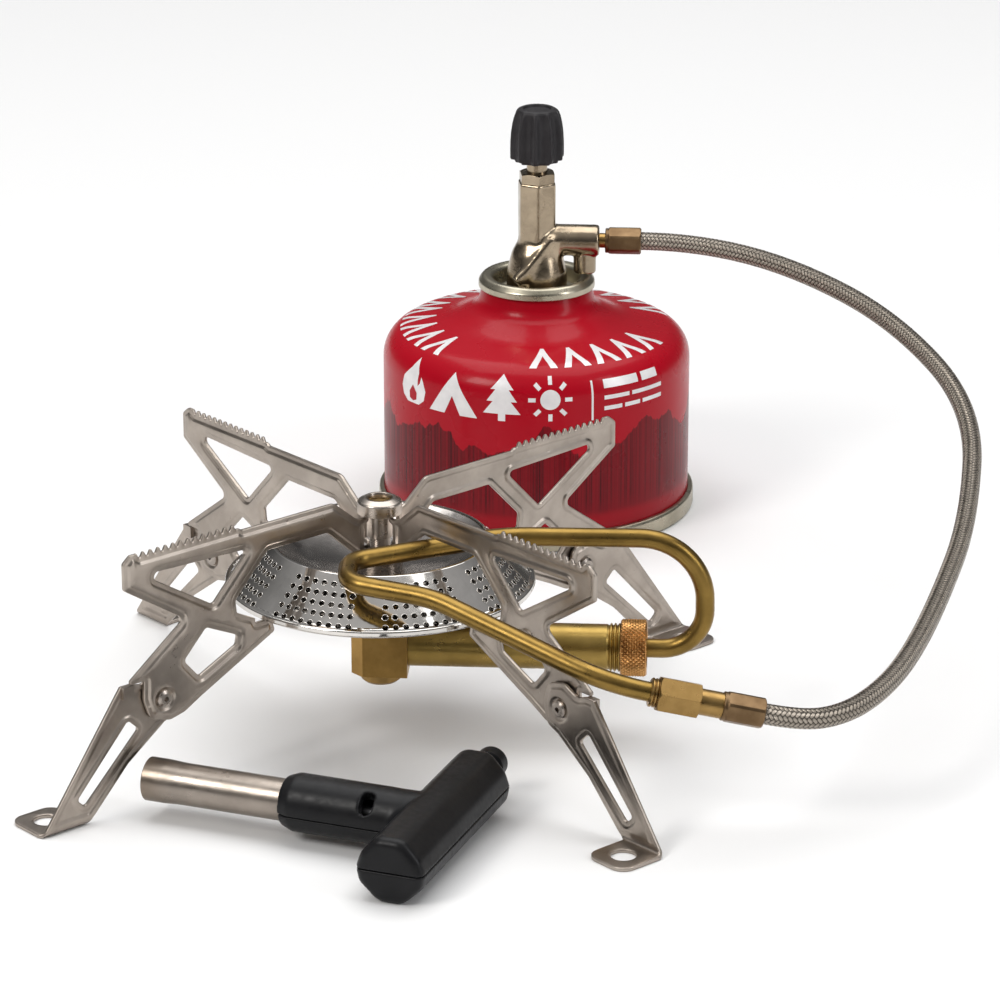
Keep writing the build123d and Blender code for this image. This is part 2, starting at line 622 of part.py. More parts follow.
# ---------------------------------------------------------------- gas canister
WALL = 0.8
NECK_END_R, NECK_END = 15.9, 66.3    # top of the drawn shell, under the collar's rim

with BuildPart() as canister_shell:
    lathe(
        [
            (CAN_R, 3.4), (CAN_R, 53.2, 9.5), (26.0, 56.8, 18), (17.4, 61.0, 5), (NECK_END_R, NECK_END),
            (NECK_END_R - WALL, NECK_END), (16.5, 60.4, 5.8), (25.8, 55.95, 18),
            (CAN_R - WALL, 52.4, 8.7), (CAN_R - WALL, 3.4),
        ],
        CAN_AXIS,
    )
finish(canister_shell, "canister_shell")

with BuildPart() as canister_base:
    lathe(
        [
            (CAN_RIM_R - 2.6, 0, 0.9), (CAN_RIM_R, 0, 0.9), (CAN_RIM_R, 5.2, 0.9),
            (CAN_R + 0.05, 5.4, 0.2), (CAN_R + 0.05, 3.3), (CAN_R - 1.4, 3.3), (40.0, 4.6, 3),
            (20.0, 9.4, 20), (0, 10.6), (0, 9.8), (20.0, 8.6, 20), (40.0, 3.8, 3), (43.2, 2.2, 0.5),
        ],
        CAN_AXIS,
    )
finish(canister_base, "canister_base")

with BuildPart() as canister_collar:
    lathe(
        [
            (2.95, 63.0), (12.6, 63.0, 1.0), (13.2, 61.6, 0.5), (14.2, 61.6, 0.5),
            (15.05, NECK_END + 0.05), (COLLAR_R, NECK_END + 0.05, 0.2), (COLLAR_R, 68.2, 1.2),
            (15.6, 70.0, 1.4), (12.9, 69.4, 1.6), (11.9, 64.4, 1.2), (THREAD_R, 64.0),
            (THREAD_R, 69.6, 0.4), (2.95, 69.6),
        ],
        CAN_AXIS,
    )
finish(canister_collar, "canister_collar")

with BuildPart() as canister_valve:
    lathe(
        [
            (1.2, 56.0), (4.6, 56.0), (4.6, 62.9), (2.9, 62.9), (2.9, 69.2), (1.4, 69.2), (1.4, 64.0),
            (3.4, 62.0), (3.4, 57.0), (1.2, 57.0),
        ],
        CAN_AXIS,
    )
finish(canister_valve, "canister_valve")

with BuildPart() as canister_pin:
    lathe([(0, 60.8), (2.4, 60.8), (2.4, 62.2), (1.3, 63.3), (1.3, 69.9), (0, 69.9)], CAN_AXIS)
finish(canister_pin, "canister_pin")

with BuildPart() as canister_spring:
    with BuildLine() as coil:
        Helix(0.95, 2.95, 2.5, center=(CAN_X, CAN_Y, 57.35))
    with BuildSketch(Plane(origin=coil.line @ 0, z_dir=coil.line % 0)):
        Circle(0.3)
    sweep(path=coil.line, is_frenet=True)
finish(canister_spring, "canister_spring")

# ---------------------------------------------------------------- piezo lighter
# Its own plane: x runs from the flame tube to the grip, y along the grip towards the button.
turn = radians(LIGHTER_TURN)
STEM_WAY = (cos(turn), sin(turn), 0)
GRIP_WAY = (-sin(turn), cos(turn), 0)
GRIP_SIDE = (-cos(turn), -sin(turn), 0)
JOINT = (LIGHTER_X, LIGHTER_Y, 0)
STEM_LINE = (LIGHTER_X, LIGHTER_Y, LIGHTER_Z)
STEM_R = 7.3
STEM_START = -38.5               # where the stem's shells begin, from the grip's axis
GRIP_HALF, GRIP_HEIGHT = 8.8, 16.7
BUTTON_R = 3.5
BUTTON_HEAD_R = 4.1

with BuildPart() as lighter_tube:
    lathe(
        [
            (LIGHTER_TUBE_R - 0.5, -LIGHTER_LENGTH), (LIGHTER_TUBE_R, -LIGHTER_LENGTH, 0.2),
            (LIGHTER_TUBE_R, 5.0 - LIGHTER_LENGTH, 12), (LIGHTER_TUBE_R - 0.25, 9.0 - LIGHTER_LENGTH, 12),
            (LIGHTER_TUBE_R - 0.25, -26.0), (LIGHTER_TUBE_R - 0.75, -26.0),
            (LIGHTER_TUBE_R - 0.75, 9.0 - LIGHTER_LENGTH, 12),
            (LIGHTER_TUBE_R - 0.5, 5.0 - LIGHTER_LENGTH, 12),
        ],
        STEM_LINE,
        STEM_WAY,
    )
finish(lighter_tube, "lighter_tube")


def lighter_solid():
    """The outside of both shells together: a round stem and a grip with a rounded barrel section."""
    lathe(
        [
            (0, STEM_START), (STEM_R - 1.2, STEM_START, 0.6), (STEM_R, STEM_START + 3.0, 2.0),
            (STEM_R, 0), (0, 0),
        ],
        STEM_LINE,
        STEM_WAY,
    )
    grip_end = Plane(origin=further(JOINT, GRIP_WAY, -GRIP_NEAR), x_dir=GRIP_SIDE, z_dir=GRIP_WAY)
    half = [
        (3.2, 0, 4.5), (8.1, 4.6, 3.5), (GRIP_HALF, 8.3, 1.5), (7.6, 12.0, 5.0), (3.4, GRIP_HEIGHT, 4.0),
    ]
    with BuildSketch(grip_end) as barrel:
        outline(half + [(-x, z, radius) for x, z, radius in reversed(half)])
    extrude(barrel.sketch, amount=GRIP_FAR + GRIP_NEAR)


def lighter_hollow():
    """Room inside the shells for the flame tube, the ignition unit and the button."""
    rod(LIGHTER_TUBE_R - 0.25, STEM_START - 1, -26.0, STEM_LINE, STEM_WAY, Mode.SUBTRACT)
    rod(4.0, -26.5, 0, STEM_LINE, STEM_WAY, Mode.SUBTRACT)
    rod(5.0, -GRIP_NEAR + 3, GRIP_FAR - 3, STEM_LINE, GRIP_WAY, Mode.SUBTRACT)
    rod(BUTTON_R + 0.1, GRIP_FAR - 4, GRIP_FAR + 1, STEM_LINE, GRIP_WAY, Mode.SUBTRACT)


GRIP_END_FILLET = 2.2
split_plane = Plane(origin=(LIGHTER_X, LIGHTER_Y, SPLIT_Z), x_dir=STEM_WAY, z_dir=(0, 0, 1))

with BuildPart() as lighter_cover:
    lighter_solid()
    grip_ends = lighter_cover.faces().sort_by(Axis(JOINT, GRIP_WAY))
    fillet(grip_ends[0].edges() + grip_ends[-1].edges(), GRIP_END_FILLET)
    lighter_hollow()
    # Hanging slot in the stem, beside the grip.
    slot_way = (Vector(0, 0, 1) - Vector(*GRIP_WAY)).normalized()
    slot_plane = Plane(origin=further(STEM_LINE, STEM_WAY, -15.2), x_dir=STEM_WAY, z_dir=slot_way)
    with BuildSketch(slot_plane.offset(3.6)):
        SlotOverall(6.0, 3.4, rotation=90)
    extrude(amount=8, mode=Mode.SUBTRACT)
    split(bisect_by=split_plane.offset(0.06), keep=Keep.TOP)
finish(lighter_cover, "lighter_cover")

with BuildPart() as lighter_base:
    lighter_solid()
    grip_ends = lighter_base.faces().sort_by(Axis(JOINT, GRIP_WAY))
    fillet(grip_ends[0].edges() + grip_ends[-1].edges(), GRIP_END_FILLET)
    lighter_hollow()
    split(bisect_by=split_plane.offset(-0.06), keep=Keep.BOTTOM)
finish(lighter_base, "lighter_base")

with BuildPart() as lighter_button:
    lathe(
        [
            (0, GRIP_FAR - 9.0), (4.7, GRIP_FAR - 9.0), (4.7, GRIP_FAR - 4.3), (BUTTON_R, GRIP_FAR - 4.3),
            (BUTTON_R, GRIP_FAR + 5.6, 0.3), (BUTTON_HEAD_R, GRIP_FAR + 5.6, 0.4),
            (BUTTON_HEAD_R, GRIP_FAR + 10.0, 1.2), (0, GRIP_FAR + 10.4),
        ],
        STEM_LINE,
        GRIP_WAY,
    )
finish(lighter_button, "lighter_button")

with BuildPart() as lighter_spring:
    coil_start = further(STEM_LINE, GRIP_WAY, GRIP_FAR - 20.0)
    with BuildLine() as button_coil:
        Helix(1.7, 10.4, 3.4, center=coil_start, direction=GRIP_WAY)
    with BuildSketch(Plane(origin=button_coil.line @ 0, z_dir=button_coil.line % 0)):
        Circle(0.35)
    sweep(path=button_coil.line, is_frenet=True)
finish(lighter_spring, "lighter_spring")

with BuildPart() as piezo_unit:
    piezo_end = GRIP_FAR - 20.6
    lathe([(0, -24.0), (4.6, -24.0), (4.6, piezo_end), (0, piezo_end)], STEM_LINE, GRIP_WAY)
finish(piezo_unit, "piezo_unit")

with BuildPart() as spark_electrode:
    rod(0.6, -68.0, -30.0, STEM_LINE, STEM_WAY)
    rod(2.0, -30.0, -4.9, STEM_LINE, STEM_WAY)
finish(spark_electrode, "spark_electrode")

with BuildPart() as spark_insulator:
    insulator_r = LIGHTER_TUBE_R - 0.8
    lathe([(0.6, -60.0), (insulator_r, -60.0), (insulator_r, -31.0), (0.6, -31.0)], STEM_LINE, STEM_WAY)
finish(spark_insulator, "spark_insulator")
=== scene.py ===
"""The looks of a canister stove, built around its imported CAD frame: metres, +Z up, in the frame's own axes."""
import json
from math import cos, pi, radians, sin, tau

import bmesh
import bpy
import numpy as np
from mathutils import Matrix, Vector
from mathutils.bvhtree import BVHTree
from mathutils.geometry import delaunay_2d_cdt


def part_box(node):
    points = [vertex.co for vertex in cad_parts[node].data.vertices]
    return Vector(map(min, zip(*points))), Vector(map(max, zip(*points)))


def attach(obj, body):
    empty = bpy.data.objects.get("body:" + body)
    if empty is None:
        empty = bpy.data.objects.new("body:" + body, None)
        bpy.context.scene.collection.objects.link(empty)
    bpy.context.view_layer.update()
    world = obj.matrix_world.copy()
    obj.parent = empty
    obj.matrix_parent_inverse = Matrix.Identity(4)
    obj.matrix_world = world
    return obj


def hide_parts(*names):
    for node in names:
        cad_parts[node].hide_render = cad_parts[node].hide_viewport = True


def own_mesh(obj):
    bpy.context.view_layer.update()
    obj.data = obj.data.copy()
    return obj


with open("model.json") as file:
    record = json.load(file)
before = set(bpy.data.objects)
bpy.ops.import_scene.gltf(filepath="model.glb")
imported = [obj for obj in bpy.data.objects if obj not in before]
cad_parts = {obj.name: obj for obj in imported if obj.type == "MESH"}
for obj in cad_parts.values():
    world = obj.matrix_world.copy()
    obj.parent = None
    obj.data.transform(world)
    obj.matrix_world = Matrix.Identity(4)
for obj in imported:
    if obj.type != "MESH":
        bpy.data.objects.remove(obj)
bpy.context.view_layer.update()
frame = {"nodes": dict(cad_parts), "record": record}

MM = 0.001
SUPPORT_AZIMUTHS = {"fr": -45, "br": 45, "bl": 135, "fl": 225}
nodes = frame["nodes"]
body_of_node = {node: body for body, members in frame["record"]["behaviour"]["bodies"].items() for node in members}


def axes_at(azimuth):
    """The outward and sideways unit vectors of a support's upright plane, at an azimuth in degrees."""
    a = radians(azimuth)
    return np.array((cos(a), sin(a), 0)), np.array((sin(a), -cos(a), 0))


def middle(node):
    """The centre of a CAD node's box."""
    low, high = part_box(node)
    return (low + high) / 2


CANISTER = middle("canister_shell")
CANISTER_X, CANISTER_Y = CANISTER.x, CANISTER.y


# ---------------------------------------------------------------- camera
CAMERA_PLACE = (0.0953, -1.0319, 0.4391)
CAMERA_TILT, CAMERA_TURN = radians(70.04), radians(3.58)
CAMERA_LENS, CAMERA_SENSOR = 155.7, 36       # millimetres


def link(name, data):
    """An object in the scene that shows the given data."""
    made = bpy.data.objects.new(name, data)
    bpy.context.scene.collection.objects.link(made)
    return made


camera = link("camera", bpy.data.cameras.new("camera"))
camera.data.sensor_width = CAMERA_SENSOR
camera.data.lens = CAMERA_LENS
camera.location = CAMERA_PLACE
camera.rotation_euler = (CAMERA_TILT, 0, CAMERA_TURN)
bpy.context.scene.camera = camera


# ---------------------------------------------------------------- making pieces
def add_piece(name, vertices, faces, body, replaced=(), smooth=40, uv=None):
    """A mesh piece that rides on a body, with sharp edges where it turns by more than smooth degrees."""
    mesh = bpy.data.meshes.new(name)
    mesh.from_pydata([tuple(v) for v in vertices], [], [tuple(f) for f in faces])
    if uv is not None:
        layer = mesh.uv_layers.new(name="UVMap")
        corners = np.zeros(len(mesh.loops), int)
        mesh.loops.foreach_get("vertex_index", corners)
        layer.data.foreach_set("uv", np.asarray(uv, np.float32)[corners].ravel())
    mesh.validate()
    mesh.shade_smooth()
    mesh.set_sharp_from_angle(angle=radians(smooth))
    piece = link(name, mesh)
    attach(piece, body)
    if replaced:
        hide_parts(*replaced)
    return piece


def grid_faces(rows, columns, wrap=True):
    """Quads of a grid of rows by columns of vertices, closed round its columns if wrap."""
    faces = []
    for row in range(rows - 1):
        for column in range(columns if wrap else columns - 1):
            following = (column + 1) % columns
            faces.append(
                (row * columns + column, row * columns + following,
                 (row + 1) * columns + following, (row + 1) * columns + column)
            )
    return faces


# ---------------------------------------------------------------- braided hose
HOSE_DIAMETER = 0.0053
HOSE_SMOOTHNESS = 130            # points along each span of the spline
HOSE_ROUTE = [
    (0.09864, -0.05964, 0.03155), (0.10825, -0.05865, 0.02941), (0.1182, -0.0533, 0.0292), (0.1266, -0.0422, 0.0302),
    (0.1344, -0.0215, 0.0306), (0.1429, 0.0127, 0.0327), (0.1527, 0.0576, 0.0397), (0.1554, 0.1043, 0.0559),
    (0.1335, 0.1444, 0.0684), (0.1042, 0.1688, 0.0762), (0.0761, 0.1773, 0.0802), (0.0608, 0.1773, 0.0802),
]
BRAID_STRANDS = 12               # bands of wire in each direction
BRAID_PITCH = 1.18 * MM          # length along the hose of one band
BRAID_HEIGHT = 0.17 * MM
ROWS_PER_BAND = 5                # so that every band's rows and columns of vertices fall in the same places


def smooth_line(points):
    """Points along the NURBS spline that has the given control points."""
    data = bpy.data.curves.new("route", "CURVE")
    data.dimensions = "3D"
    data.resolution_u = HOSE_SMOOTHNESS
    spline = data.splines.new("NURBS")
    spline.points.add(len(points) - 1)
    for point, place in zip(spline.points, points):
        point.co = (*place, 1)
    spline.order_u = 3
    spline.use_endpoint_u = True
    carrier = link("route", data)
    evaluated = carrier.evaluated_get(bpy.context.evaluated_depsgraph_get())
    line_mesh = bpy.data.meshes.new_from_object(evaluated)
    line = np.array([v.co for v in line_mesh.vertices])
    bpy.data.meshes.remove(line_mesh)
    bpy.data.objects.remove(carrier)
    bpy.data.curves.remove(data)
    return line


def carried_frames(line):
    """Side and up vectors along a line, carried along it without twist."""
    along = np.gradient(line, axis=0)
    along /= np.linalg.norm(along, axis=1)[:, None]
    side = np.cross(along[0], (0, 0, 1))
    side /= np.linalg.norm(side)
    sides = [side]
    for way in along[1:]:
        side = side - way * np.dot(side, way)
        side = side / np.linalg.norm(side)
        sides.append(side)
    sides = np.array(sides)
    return sides, np.cross(along, sides)


def braid_height(around, climb):
    """Height of a braid whose bands pass over two and under two, which gives a herringbone along the hose."""
    turns = BRAID_STRANDS * around + 0.5 / ROWS_PER_BAND
    first, second = turns + climb, turns - climb
    step = (np.floor(first) + np.floor(second)) % 4
    over = step < 2
    f, s = first % 1, second % 1
    across = np.where(over, f, s)
    along = np.where(over, step + s, step - 2 + f) / 2
    return np.sqrt(np.sin(pi * across)) * 0.55 + np.sin(pi * along) * 0.45


def make_hose():
    """The gas hose, with its braid as geometry."""
    route = smooth_line(HOSE_ROUTE)
    steps = np.linalg.norm(np.diff(route, axis=0), axis=1)
    travelled = np.concatenate([[0], np.cumsum(steps)])
    length = float(travelled[-1])
    rows = round(length / BRAID_PITCH * ROWS_PER_BAND) + 1
    places = np.linspace(0, length, rows)
    line = np.stack([np.interp(places, travelled, route[:, k]) for k in range(3)], 1)
    sides, ups = carried_frames(line)
    columns = BRAID_STRANDS * ROWS_PER_BAND + 1
    around = np.linspace(0, 1, columns)[None, :]
    climb = (np.arange(rows) / ROWS_PER_BAND)[:, None]
    radius = HOSE_DIAMETER / 2 - BRAID_HEIGHT * (1 - braid_height(around, climb))
    angle = around[..., None] * tau
    ring = np.cos(angle) * sides[:, None, :] + np.sin(angle) * ups[:, None, :]
    vertices = (line[:, None, :] + ring * radius[:, :, None]).reshape(-1, 3)
    uv = np.stack([np.broadcast_to(around, radius.shape), np.broadcast_to(climb, radius.shape)], -1).reshape(-1, 2)
    faces = grid_faces(rows, columns, wrap=False)
    piece = add_piece("braided_hose", vertices, faces, "root", ["hose"], 70, uv)
    return piece


hose = make_hose()


# ---------------------------------------------------------------- flat shapes on a fine grid
def section_outline(node, origin, across, up):
    """Where a plane cuts a CAD node, as segments measured along across and up from origin."""
    origin, across, up = Vector(origin), Vector(across), Vector(up)
    solid = bmesh.new()
    solid.from_mesh(nodes[node].data)
    everything = solid.verts[:] + solid.edges[:] + solid.faces[:]
    cut = bmesh.ops.bisect_plane(solid, geom=everything, plane_co=origin, plane_no=across.cross(up), dist=1e-8)
    ends = [
        [((v.co - origin).dot(across), (v.co - origin).dot(up)) for v in edge.verts]
        for edge in cut["geom_cut"]
        if isinstance(edge, bmesh.types.BMEdge)
    ]
    solid.free()
    return np.array(ends)


def bar(x0, y0, x1, y1):
    """The corners of an upright rectangle."""
    return [(x0, y0), (x1, y0), (x1, y1), (x0, y1)]


def ring_outline(points):
    """The segments of one closed outline."""
    points = np.asarray(points, float)
    return np.stack([points, np.roll(points, -1, axis=0)], 1)


def distance_to(outline, points):
    """For each point: its distance from the outline, the nearest place on it, and whether it is inside."""
    best = np.full(len(points), np.inf)
    nearest = np.zeros_like(points)
    inside = np.zeros(len(points), bool)
    for (x0, y0), (x1, y1) in outline:
        run = np.array([x1 - x0, y1 - y0])
        size = max(run @ run, 1e-18)
        share = np.clip(((points[:, 0] - x0) * run[0] + (points[:, 1] - y0) * run[1]) / size, 0, 1)
        foot = np.stack([x0 + share * run[0], y0 + share * run[1]], 1)
        gap = np.hypot(*(points - foot).T)
        closer = gap < best
        best[closer] = gap[closer]
        nearest[closer] = foot[closer]
        crosses = (y0 > points[:, 1]) != (y1 > points[:, 1])
        if crosses.any():
            inside ^= crosses & (points[:, 0] < run[0] * (points[:, 1] - y0) / (y1 - y0 or 1e-18) + x0)
    return best, nearest, inside


SAME_POINT = 0.004               # millimetres between points that are joined into one
ROW_SHARE = 0.985                # a row's point nearer to the rim than this share of its distance is left out
GRID_SHARE = 0.45                # the grid starts this share of its step beyond the last row


def flat_mesh(outline, spacing, rings, step):
    """A flat mesh that fills an outline exactly: its points, its triangles and each point's distance from the rim.

    Rows of points follow the rim at the distances in rings, and a grid fills what is further in. Spacing,
    rings and step are in millimetres.
    """
    corners, links, samples = [], [], []
    for start, end in outline / MM:
        count = max(1, int(np.hypot(*(end - start)) / spacing + 0.999))
        along = [start + (end - start) * k / count for k in range(count + 1)]
        links += [(len(corners) + k, len(corners) + k + 1) for k in range(count)]
        corners += along
        run = (end - start) / max(np.hypot(*(end - start)), 1e-9)
        samples += [(place, (-run[1], run[0])) for place in along]
    places = np.array([place for place, _ in samples])
    sideways = np.array([side for _, side in samples])
    shape = outline / MM
    low, high = places.min(0), places.max(0)
    grid = np.meshgrid(np.arange(low[0], high[0], step), np.arange(low[1], high[1], step))
    grid = np.stack(grid, -1).reshape(-1, 2)
    gap, _, inside = distance_to(shape, grid)
    inner = [grid[inside & (gap > (rings[-1] if rings else 0) + GRID_SHARE * step)]]
    for ring in rings:
        for side in (-1, 1):
            moved = places + sideways * side * ring
            gap, _, inside = distance_to(shape, moved)
            inner.append(moved[inside & (gap > ROW_SHARE * ring)])
    points = np.concatenate([np.array(corners)] + inner)
    made = delaunay_2d_cdt([Vector(p) for p in points], links, [], 0, SAME_POINT)
    points, faces = np.array([tuple(v) for v in made[0]]), made[2]
    centres = np.array([points[face].mean(0) for face in faces])
    kept = [list(face) for face, is_inside in zip(faces, distance_to(shape, centres)[2]) if is_inside]
    return points * MM, kept, distance_to(shape, points)[0] * MM


def rim_edges(faces):
    """The directed edges that only one face has."""
    seen = {}
    for face in faces:
        for a, b in zip(face, face[1:] + face[:1]):
            seen[(a, b)] = True
    return [(a, b) for a, b in seen if (b, a) not in seen]


def smoothstep(value):
    """A soft step from 0 to 1 as a value goes from 0 to 1."""
    value = np.clip(value, 0, 1)
    return value * value * (3 - 2 * value)


SHEET = 1.0 * MM
STAMPED_EDGE = 0.22 * MM         # rounding of a stamped edge
FLAT_RIM = 1.0 * MM              # flat rim left beside every edge
PRESS_SLOPE = 0.9 * MM
PRESS_DEPTH = 0.42 * MM
LEG_PRESS_DEPTH = -0.3 * MM      # towards the other side
PRESSED_ROWS = (0.07, 0.22, 1.0, 1.22, 1.45, 1.68, 1.9)
RIM_SPACING, SUPPORT_GRID, LEG_GRID = 0.5, 1.3, 0.55


def pressed_faces(faces, count):
    """Both sides and the rim of a sheet whose back vertices follow its front ones."""
    back = [[c + count for c in reversed(face)] for face in faces]
    rim = [(b, a, a + count, b + count) for a, b in rim_edges(faces)]
    return faces + back + rim


def pressed_offsets(gap, depth=PRESS_DEPTH):
    """Front and back offsets of a pressed sheet from its middle plane, by distance from its rim."""
    drop = np.clip(STAMPED_EDGE - gap, 0, None)
    half = SHEET / 2 - STAMPED_EDGE + np.sqrt(np.clip(STAMPED_EDGE**2 - drop**2, 0, None))
    raised = depth * smoothstep((gap - FLAT_RIM) / PRESS_SLOPE)
    return half - raised, -half - raised


def make_supports():
    """The four pot supports: stamped sheet with a pressed channel along every member."""
    out, _ = axes_at(SUPPORT_AZIMUTHS["fr"])
    outline = section_outline("support_fr", (0, 0, 0), out, (0, 0, 1))
    points, faces, gap = flat_mesh(outline, RIM_SPACING, PRESSED_ROWS, SUPPORT_GRID)
    offsets = np.concatenate(pressed_offsets(gap))
    both = np.concatenate([points, points])
    pieces = {}
    for corner, azimuth in SUPPORT_AZIMUTHS.items():
        out, normal = axes_at(azimuth)
        vertices = both[:, :1] * out + both[:, 1:] * np.array((0, 0, 1)) + offsets[:, None] * normal
        node = f"support_{corner}"
        pieces[corner] = add_piece(
            f"pressed_support_{corner}", vertices, pressed_faces(faces, len(points)), body_of_node[node], [node],
            50,
        )
    return pieces


LEG_MIDDLE = 1.05 * MM           # middle of the leg's sheet, from the support's middle plane
FOOT_MIDDLE = 0.5 * MM           # middle of the foot's sheet, above the ground
BEND_R = 1.2 * MM                # middle radius of the bend between them


def leg_pattern():
    """The leg's outline as the flat blank it is folded from: radius, and distance up from the bend."""
    out, normal = (Vector(way) for way in axes_at(SUPPORT_AZIMUTHS["fr"]))
    bend_top, bend_out = FOOT_MIDDLE + BEND_R, LEG_MIDDLE + BEND_R
    bend_length = BEND_R * pi / 2
    blade = section_outline("leg_fr", normal * LEG_MIDDLE, out, Vector((0, 0, 1)))
    foot = section_outline("leg_fr", Vector((0, 0, FOOT_MIDDLE)), out, normal)

    def above(outline, level):
        """The part of an outline above a level, and the two places where it crosses the level."""
        kept, crossings = [], []
        for p, q in outline:
            if p[1] > level and q[1] > level:
                kept.append((p, q))
            elif (p[1] > level) != (q[1] > level):
                share = (level - p[1]) / (q[1] - p[1])
                meet = p + (q - p) * share
                crossings.append(meet[0])
                kept.append((meet, q) if q[1] > level else (p, meet))
        return np.array(kept), (min(crossings), max(crossings))

    blade, blade_ends = above(blade, bend_top)
    foot, foot_ends = above(foot, bend_out)
    blade = blade - (0, bend_top)
    foot = np.stack([foot[..., 0], bend_out - foot[..., 1] - bend_length], -1)
    bend = [((blade_ends[k], 0), (foot_ends[k], -bend_length)) for k in (0, 1)]
    return np.concatenate([blade, foot, np.array(bend)])


def folded(points, offsets, azimuth):
    """Places of a leg's blank after folding, with offsets square to the sheet."""
    out, normal = axes_at(azimuth)
    up = np.array((0, 0, 1))
    height = points[:, 1]
    turn = np.clip(-height / BEND_R, 0, pi / 2)
    beyond = np.clip(-height - BEND_R * pi / 2, 0, None)
    straight = np.clip(height, 0, None)
    from_plane = LEG_MIDDLE + BEND_R * (1 - np.cos(turn)) + beyond
    level = FOOT_MIDDLE + BEND_R * (1 - np.sin(turn)) + straight
    return (
        points[:, :1] * out
        + (from_plane + offsets * np.cos(turn))[:, None] * normal
        + (level + offsets * np.sin(turn))[:, None] * up
    )


STOP_TAB_R, STOP_TAB_Z = (79.4 * MM, 82.6 * MM), (30.4 * MM, 33.6 * MM)
STOP_TAB_SIDES = (-0.5 * MM, 0.72 * MM)
BOX_FACES = [(0, 1, 2, 3), (7, 6, 5, 4), (0, 4, 5, 1), (1, 5, 6, 2), (2, 6, 7, 3), (3, 7, 4, 0)]


def make_legs():
    """The four folding legs: pressed blades whose feet are folded flat, and a stop tab folded back."""
    points, faces, gap = flat_mesh(leg_pattern(), RIM_SPACING, PRESSED_ROWS, LEG_GRID)
    front, back = pressed_offsets(gap, LEG_PRESS_DEPTH)
    on_foot = points[:, 1] < BEND_R
    flat_front, flat_back = pressed_offsets(gap, 0)
    front, back = np.where(on_foot, flat_front, front), np.where(on_foot, flat_back, back)
    both = np.concatenate([points, points])
    offsets = np.concatenate([front, back])
    pieces = {}
    for corner, azimuth in SUPPORT_AZIMUTHS.items():
        vertices = folded(both, offsets, azimuth)
        out, normal = axes_at(azimuth)
        tab = [
            out * radius + normal * from_plane + np.array((0, 0, level))
            for from_plane in STOP_TAB_SIDES
            for radius, level in bar(STOP_TAB_R[0], STOP_TAB_Z[0], STOP_TAB_R[1], STOP_TAB_Z[1])
        ]
        tab_faces = [tuple(len(vertices) + c for c in face) for face in BOX_FACES]
        node = f"leg_{corner}"
        pieces[corner] = add_piece(
            f"pressed_leg_{corner}", np.concatenate([vertices, np.array(tab)]),
            pressed_faces(faces, len(points)) + tab_faces, body_of_node[node], [node], 50,
        )
    return pieces


supports = make_supports()
legs = make_legs()


# ---------------------------------------------------------------- turned pieces
KNURL_TEETH, KNURL_LEAN, KNURL_DEPTH = 38, 1.32 * MM, 0.42 * MM
KNURL_COLUMNS = 12 * KNURL_TEETH
CHAMFER = 0.55 * MM
PLAIN_END, FADE = 0.1 * MM, 0.35 * MM         # plain length at each end of the knurl, and how soon it is full


def saw(value):
    """A wave that goes straight from 1 to 0 and back."""
    return np.abs((value % 1) * 2 - 1)


def make_knurled_nut():
    """The union nut, with a real diamond knurl between plain chamfered ends."""
    low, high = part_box("knurled_nut")
    axis_z = (low.z + high.z) / 2
    outer = (high.z - low.z) / 2
    places = np.linspace(low.x, high.x, 72)
    angle = np.linspace(0, tau, KNURL_COLUMNS, endpoint=False)
    turns, climb = KNURL_TEETH * angle[None, :] / tau, (places[:, None] - low.x) / KNURL_LEAN
    depth = KNURL_DEPTH * np.clip(np.maximum(saw(turns + climb), saw(turns - climb)) * 1.25 - 0.25, 0, 1)
    from_end = np.minimum(places - low.x, high.x - places)[:, None]
    chamfer = np.clip(CHAMFER - from_end, 0, None) * 0.9
    radius = outer - np.maximum(depth * smoothstep((from_end - PLAIN_END) / FADE), chamfer)
    front = [(low.x, outer - 1.1 * MM), (low.x, outer - 0.6 * MM)]
    back = [
        (high.x, outer - 0.7 * MM), (high.x - 0.05 * MM, 5.2 * MM), (high.x - 0.35 * MM, 4.9 * MM),
        (high.x - 0.35 * MM, 2.55 * MM),
    ]
    rows = [
        np.stack([np.full(KNURL_COLUMNS, x), r * np.cos(angle), axis_z + r * np.sin(angle)], -1)
        for x, r in (*front, *zip(places, radius), *back)
    ]
    return add_piece(
        "diamond_knurled_nut", np.concatenate(rows), grid_faces(len(rows), KNURL_COLUMNS), "root",
        ["knurled_nut"], 25,
    )


knurled_nut = make_knurled_nut()


KNOB_FLUTES, KNOB_COLUMNS, KNOB_TURN = 10, 320, radians(20)
# Each ring of the knob: height from its bottom, radius, and how deep the flutes are there, in millimetres.
KNOB_RINGS = np.array([
    (1.1, 3.05, 0), (0.35, 3.2, 0), (0.05, 3.6, 0), (0, 5.2, 0.5), (0.1, 6.4, 0.8), (0.95, 6.7, 0.8),
    (1.0, 7.3, 1.05), (1.05, 7.8, 1.2), (1.4, 7.95, 1.3), (3.0, 7.98, 1.35), (6.0, 7.95, 1.35),
    (9.0, 7.75, 1.3), (11.5, 7.4, 1.2), (13.4, 6.95, 1.0), (14.5, 6.55, 0.7), (15.2, 6.1, 0.35),
    (15.7, 5.5, 0.1), (15.95, 4.9, 0), (16.0, 4.4, 0), (15.9, 4.1, 0), (15.3, 3.9, 0), (15.25, 3.2, 0),
    (15.35, 2.8, 0), (15.5, 2.2, 0), (15.55, 1.0, 0), (15.55, 0.05, 0),
])


